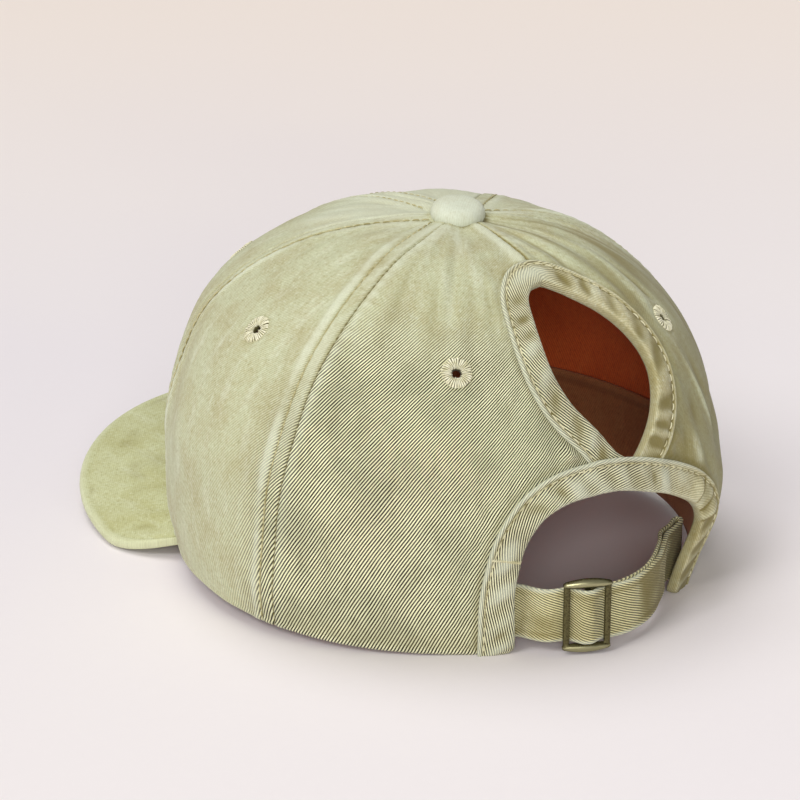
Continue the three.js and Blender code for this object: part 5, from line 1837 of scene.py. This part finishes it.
def make_buckle():
    mesh = join_solids(buckle_parts())
    mesh.name = "slide_buckle_brass"
    point, along, outward = strap_frame(BUCKLE_SHARE)
    centre = np.array([point[0], point[1], STRAP_LIFT + STRAP_HEIGHT / 2])
    local = np.array([vertex.co for vertex in mesh.vertices])
    x, y, out_by = np.abs(local[:, 0]), np.abs(local[:, 1]), local[:, 2]
    ridge = smooth(y, STRAP_HEIGHT / 2 + 0.6, STRAP_HEIGHT / 2 + 1.5) * smooth(out_by, 0.2, 1.2)
    side_edge = 0.6 * smooth(x, BUCKLE_WIDTH / 2 - 0.5, BUCKLE_WIDTH / 2) * smooth(out_by, 0, 0.7)
    wear_and_shading = mesh.attributes.new("wear_and_shading", "FLOAT", "POINT")
    wear_and_shading.data.foreach_set("value", np.clip(ridge + side_edge, 0, 1).astype(np.float32))
    right = np.array([along[0], along[1], 0])
    out = np.array([outward[0], outward[1], 0])
    placed = centre + local[:, :1] * right + local[:, 1:2] * np.array([0, 0, 1]) + local[:, 2:] * out
    mesh.vertices.foreach_set("co", ((placed + PART_SHIFT) * 0.001).ravel())
    mesh.materials.clear()
    mesh.materials.append(brass_material())
    mesh.polygons.foreach_set("use_smooth", np.ones(len(mesh.polygons), bool))
    mesh.update()
    piece = bpy.data.objects.new("slide_buckle_brass", mesh)
    bpy.context.scene.collection.objects.link(piece)
    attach(piece, "root")
    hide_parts("slide_buckle")


# Camera, floor and light

CAMERA_AZIMUTH = 141.0
CAMERA_ELEVATION = 19.58
CAMERA_PLACE = (504.317, 600.811, 331.393)  # in the crown's frame
CAMERA_LENS = 114.02
FLOOR_HALF = 4.0


def make_camera():
    camera = bpy.data.objects.new("camera", bpy.data.cameras.new("camera"))
    bpy.context.scene.collection.objects.link(camera)
    azimuth, elevation = math.radians(CAMERA_AZIMUTH), math.radians(CAMERA_ELEVATION)
    level = math.cos(elevation)
    back = Vector((math.sin(azimuth) * level, -math.cos(azimuth) * level, math.sin(elevation)))
    right = Vector((math.cos(azimuth), math.sin(azimuth), 0))
    up = back.cross(right)
    turned = Matrix((right, up, back)).transposed().to_4x4()
    place = (np.array(CAMERA_PLACE) + PART_SHIFT) * 0.001
    camera.matrix_world = Matrix.Translation(Vector(place)) @ turned
    camera.data.lens = CAMERA_LENS
    camera.data.sensor_width = 36
    camera.data.clip_start = 0.02
    bpy.context.scene.camera = camera


def make_floor():
    mesh = bpy.data.meshes.new("floor")
    corners = [(-1, -1), (1, -1), (1, 1), (-1, 1)]
    mesh.from_pydata([(x * FLOOR_HALF, y * FLOOR_HALF, 0) for x, y in corners], [], [(0, 1, 2, 3)])
    mesh.materials.append(floor_material())
    floor = bpy.data.objects.new("floor", mesh)
    bpy.context.scene.collection.objects.link(floor)


def make_light(name, place, target, size, power, tint):
    light = bpy.data.lights.new(name, "AREA")
    light.shape = "DISK"
    light.size = size
    light.energy = power
    light.color = tint
    lamp = bpy.data.objects.new(name, light)
    bpy.context.scene.collection.objects.link(lamp)
    lamp.location = place
    lamp.rotation_euler = (Vector(target) - Vector(place)).to_track_quat("-Z", "Y").to_euler()


def make_sun(name, place, strength, angle, tint):
    light = bpy.data.lights.new(name, "SUN")
    light.energy = strength
    light.angle = math.radians(angle)
    light.color = tint
    lamp = bpy.data.objects.new(name, light)
    bpy.context.scene.collection.objects.link(lamp)
    lamp.rotation_euler = (-Vector(place)).to_track_quat("-Z", "Y").to_euler()


def make_world():
    world = bpy.data.worlds.new("studio")
    world.use_nodes = True
    background = world.node_tree.nodes["Background"]
    background.inputs[0].default_value = (1.0, 0.985, 0.97, 1)
    background.inputs[1].default_value = 0.25
    bpy.context.scene.world = world


def make_stage():
    make_world()
    make_floor()
    make_sun("window", (2.0, 0.3, 1.9), 1.05, 26, (1, 0.995, 0.985))
    make_sun("overhead", (0.1, -1.0, 2.4), 1.2, 40, (1, 0.99, 0.98))
    make_light("fill", (1.65, 2.05, 0.95), (0, 0, 0.06), 1.2, 34, (1, 0.99, 0.98))
    bpy.context.scene.view_settings.view_transform = "Standard"
    bpy.context.scene.view_settings.look = "None"


make_camera()
make_stage()
for panel_place in PANEL_PLACES:
    make_panel(*panel_place)
for eyelet_number, panel_place in enumerate(PANEL_PLACES):
    make_eyelet(*panel_place, eyelet_number)
hole_path, hole_widths, hole_press = make_hole_binding()
arch_path, arch_widths, arch_lift = make_arch_binding()
make_sweatband()
make_brim()
make_button()
make_strap()
make_buckle()
stitch_mesh("crown_stitches", *join_rows(seam_rows()), "twill", material=SEAM_THREAD)
band_rows = [
    band_stitch_row(hole_path, hole_widths, -0.5 * hole_press),
    band_stitch_row(arch_path, arch_widths, arch_lift),
]
stitch_mesh("binding_stitches", *join_rows(band_rows), "binding")
stitch_mesh("bar_tack", *bar_tack_row(), "binding", radius=BAR_TACK_THREAD)
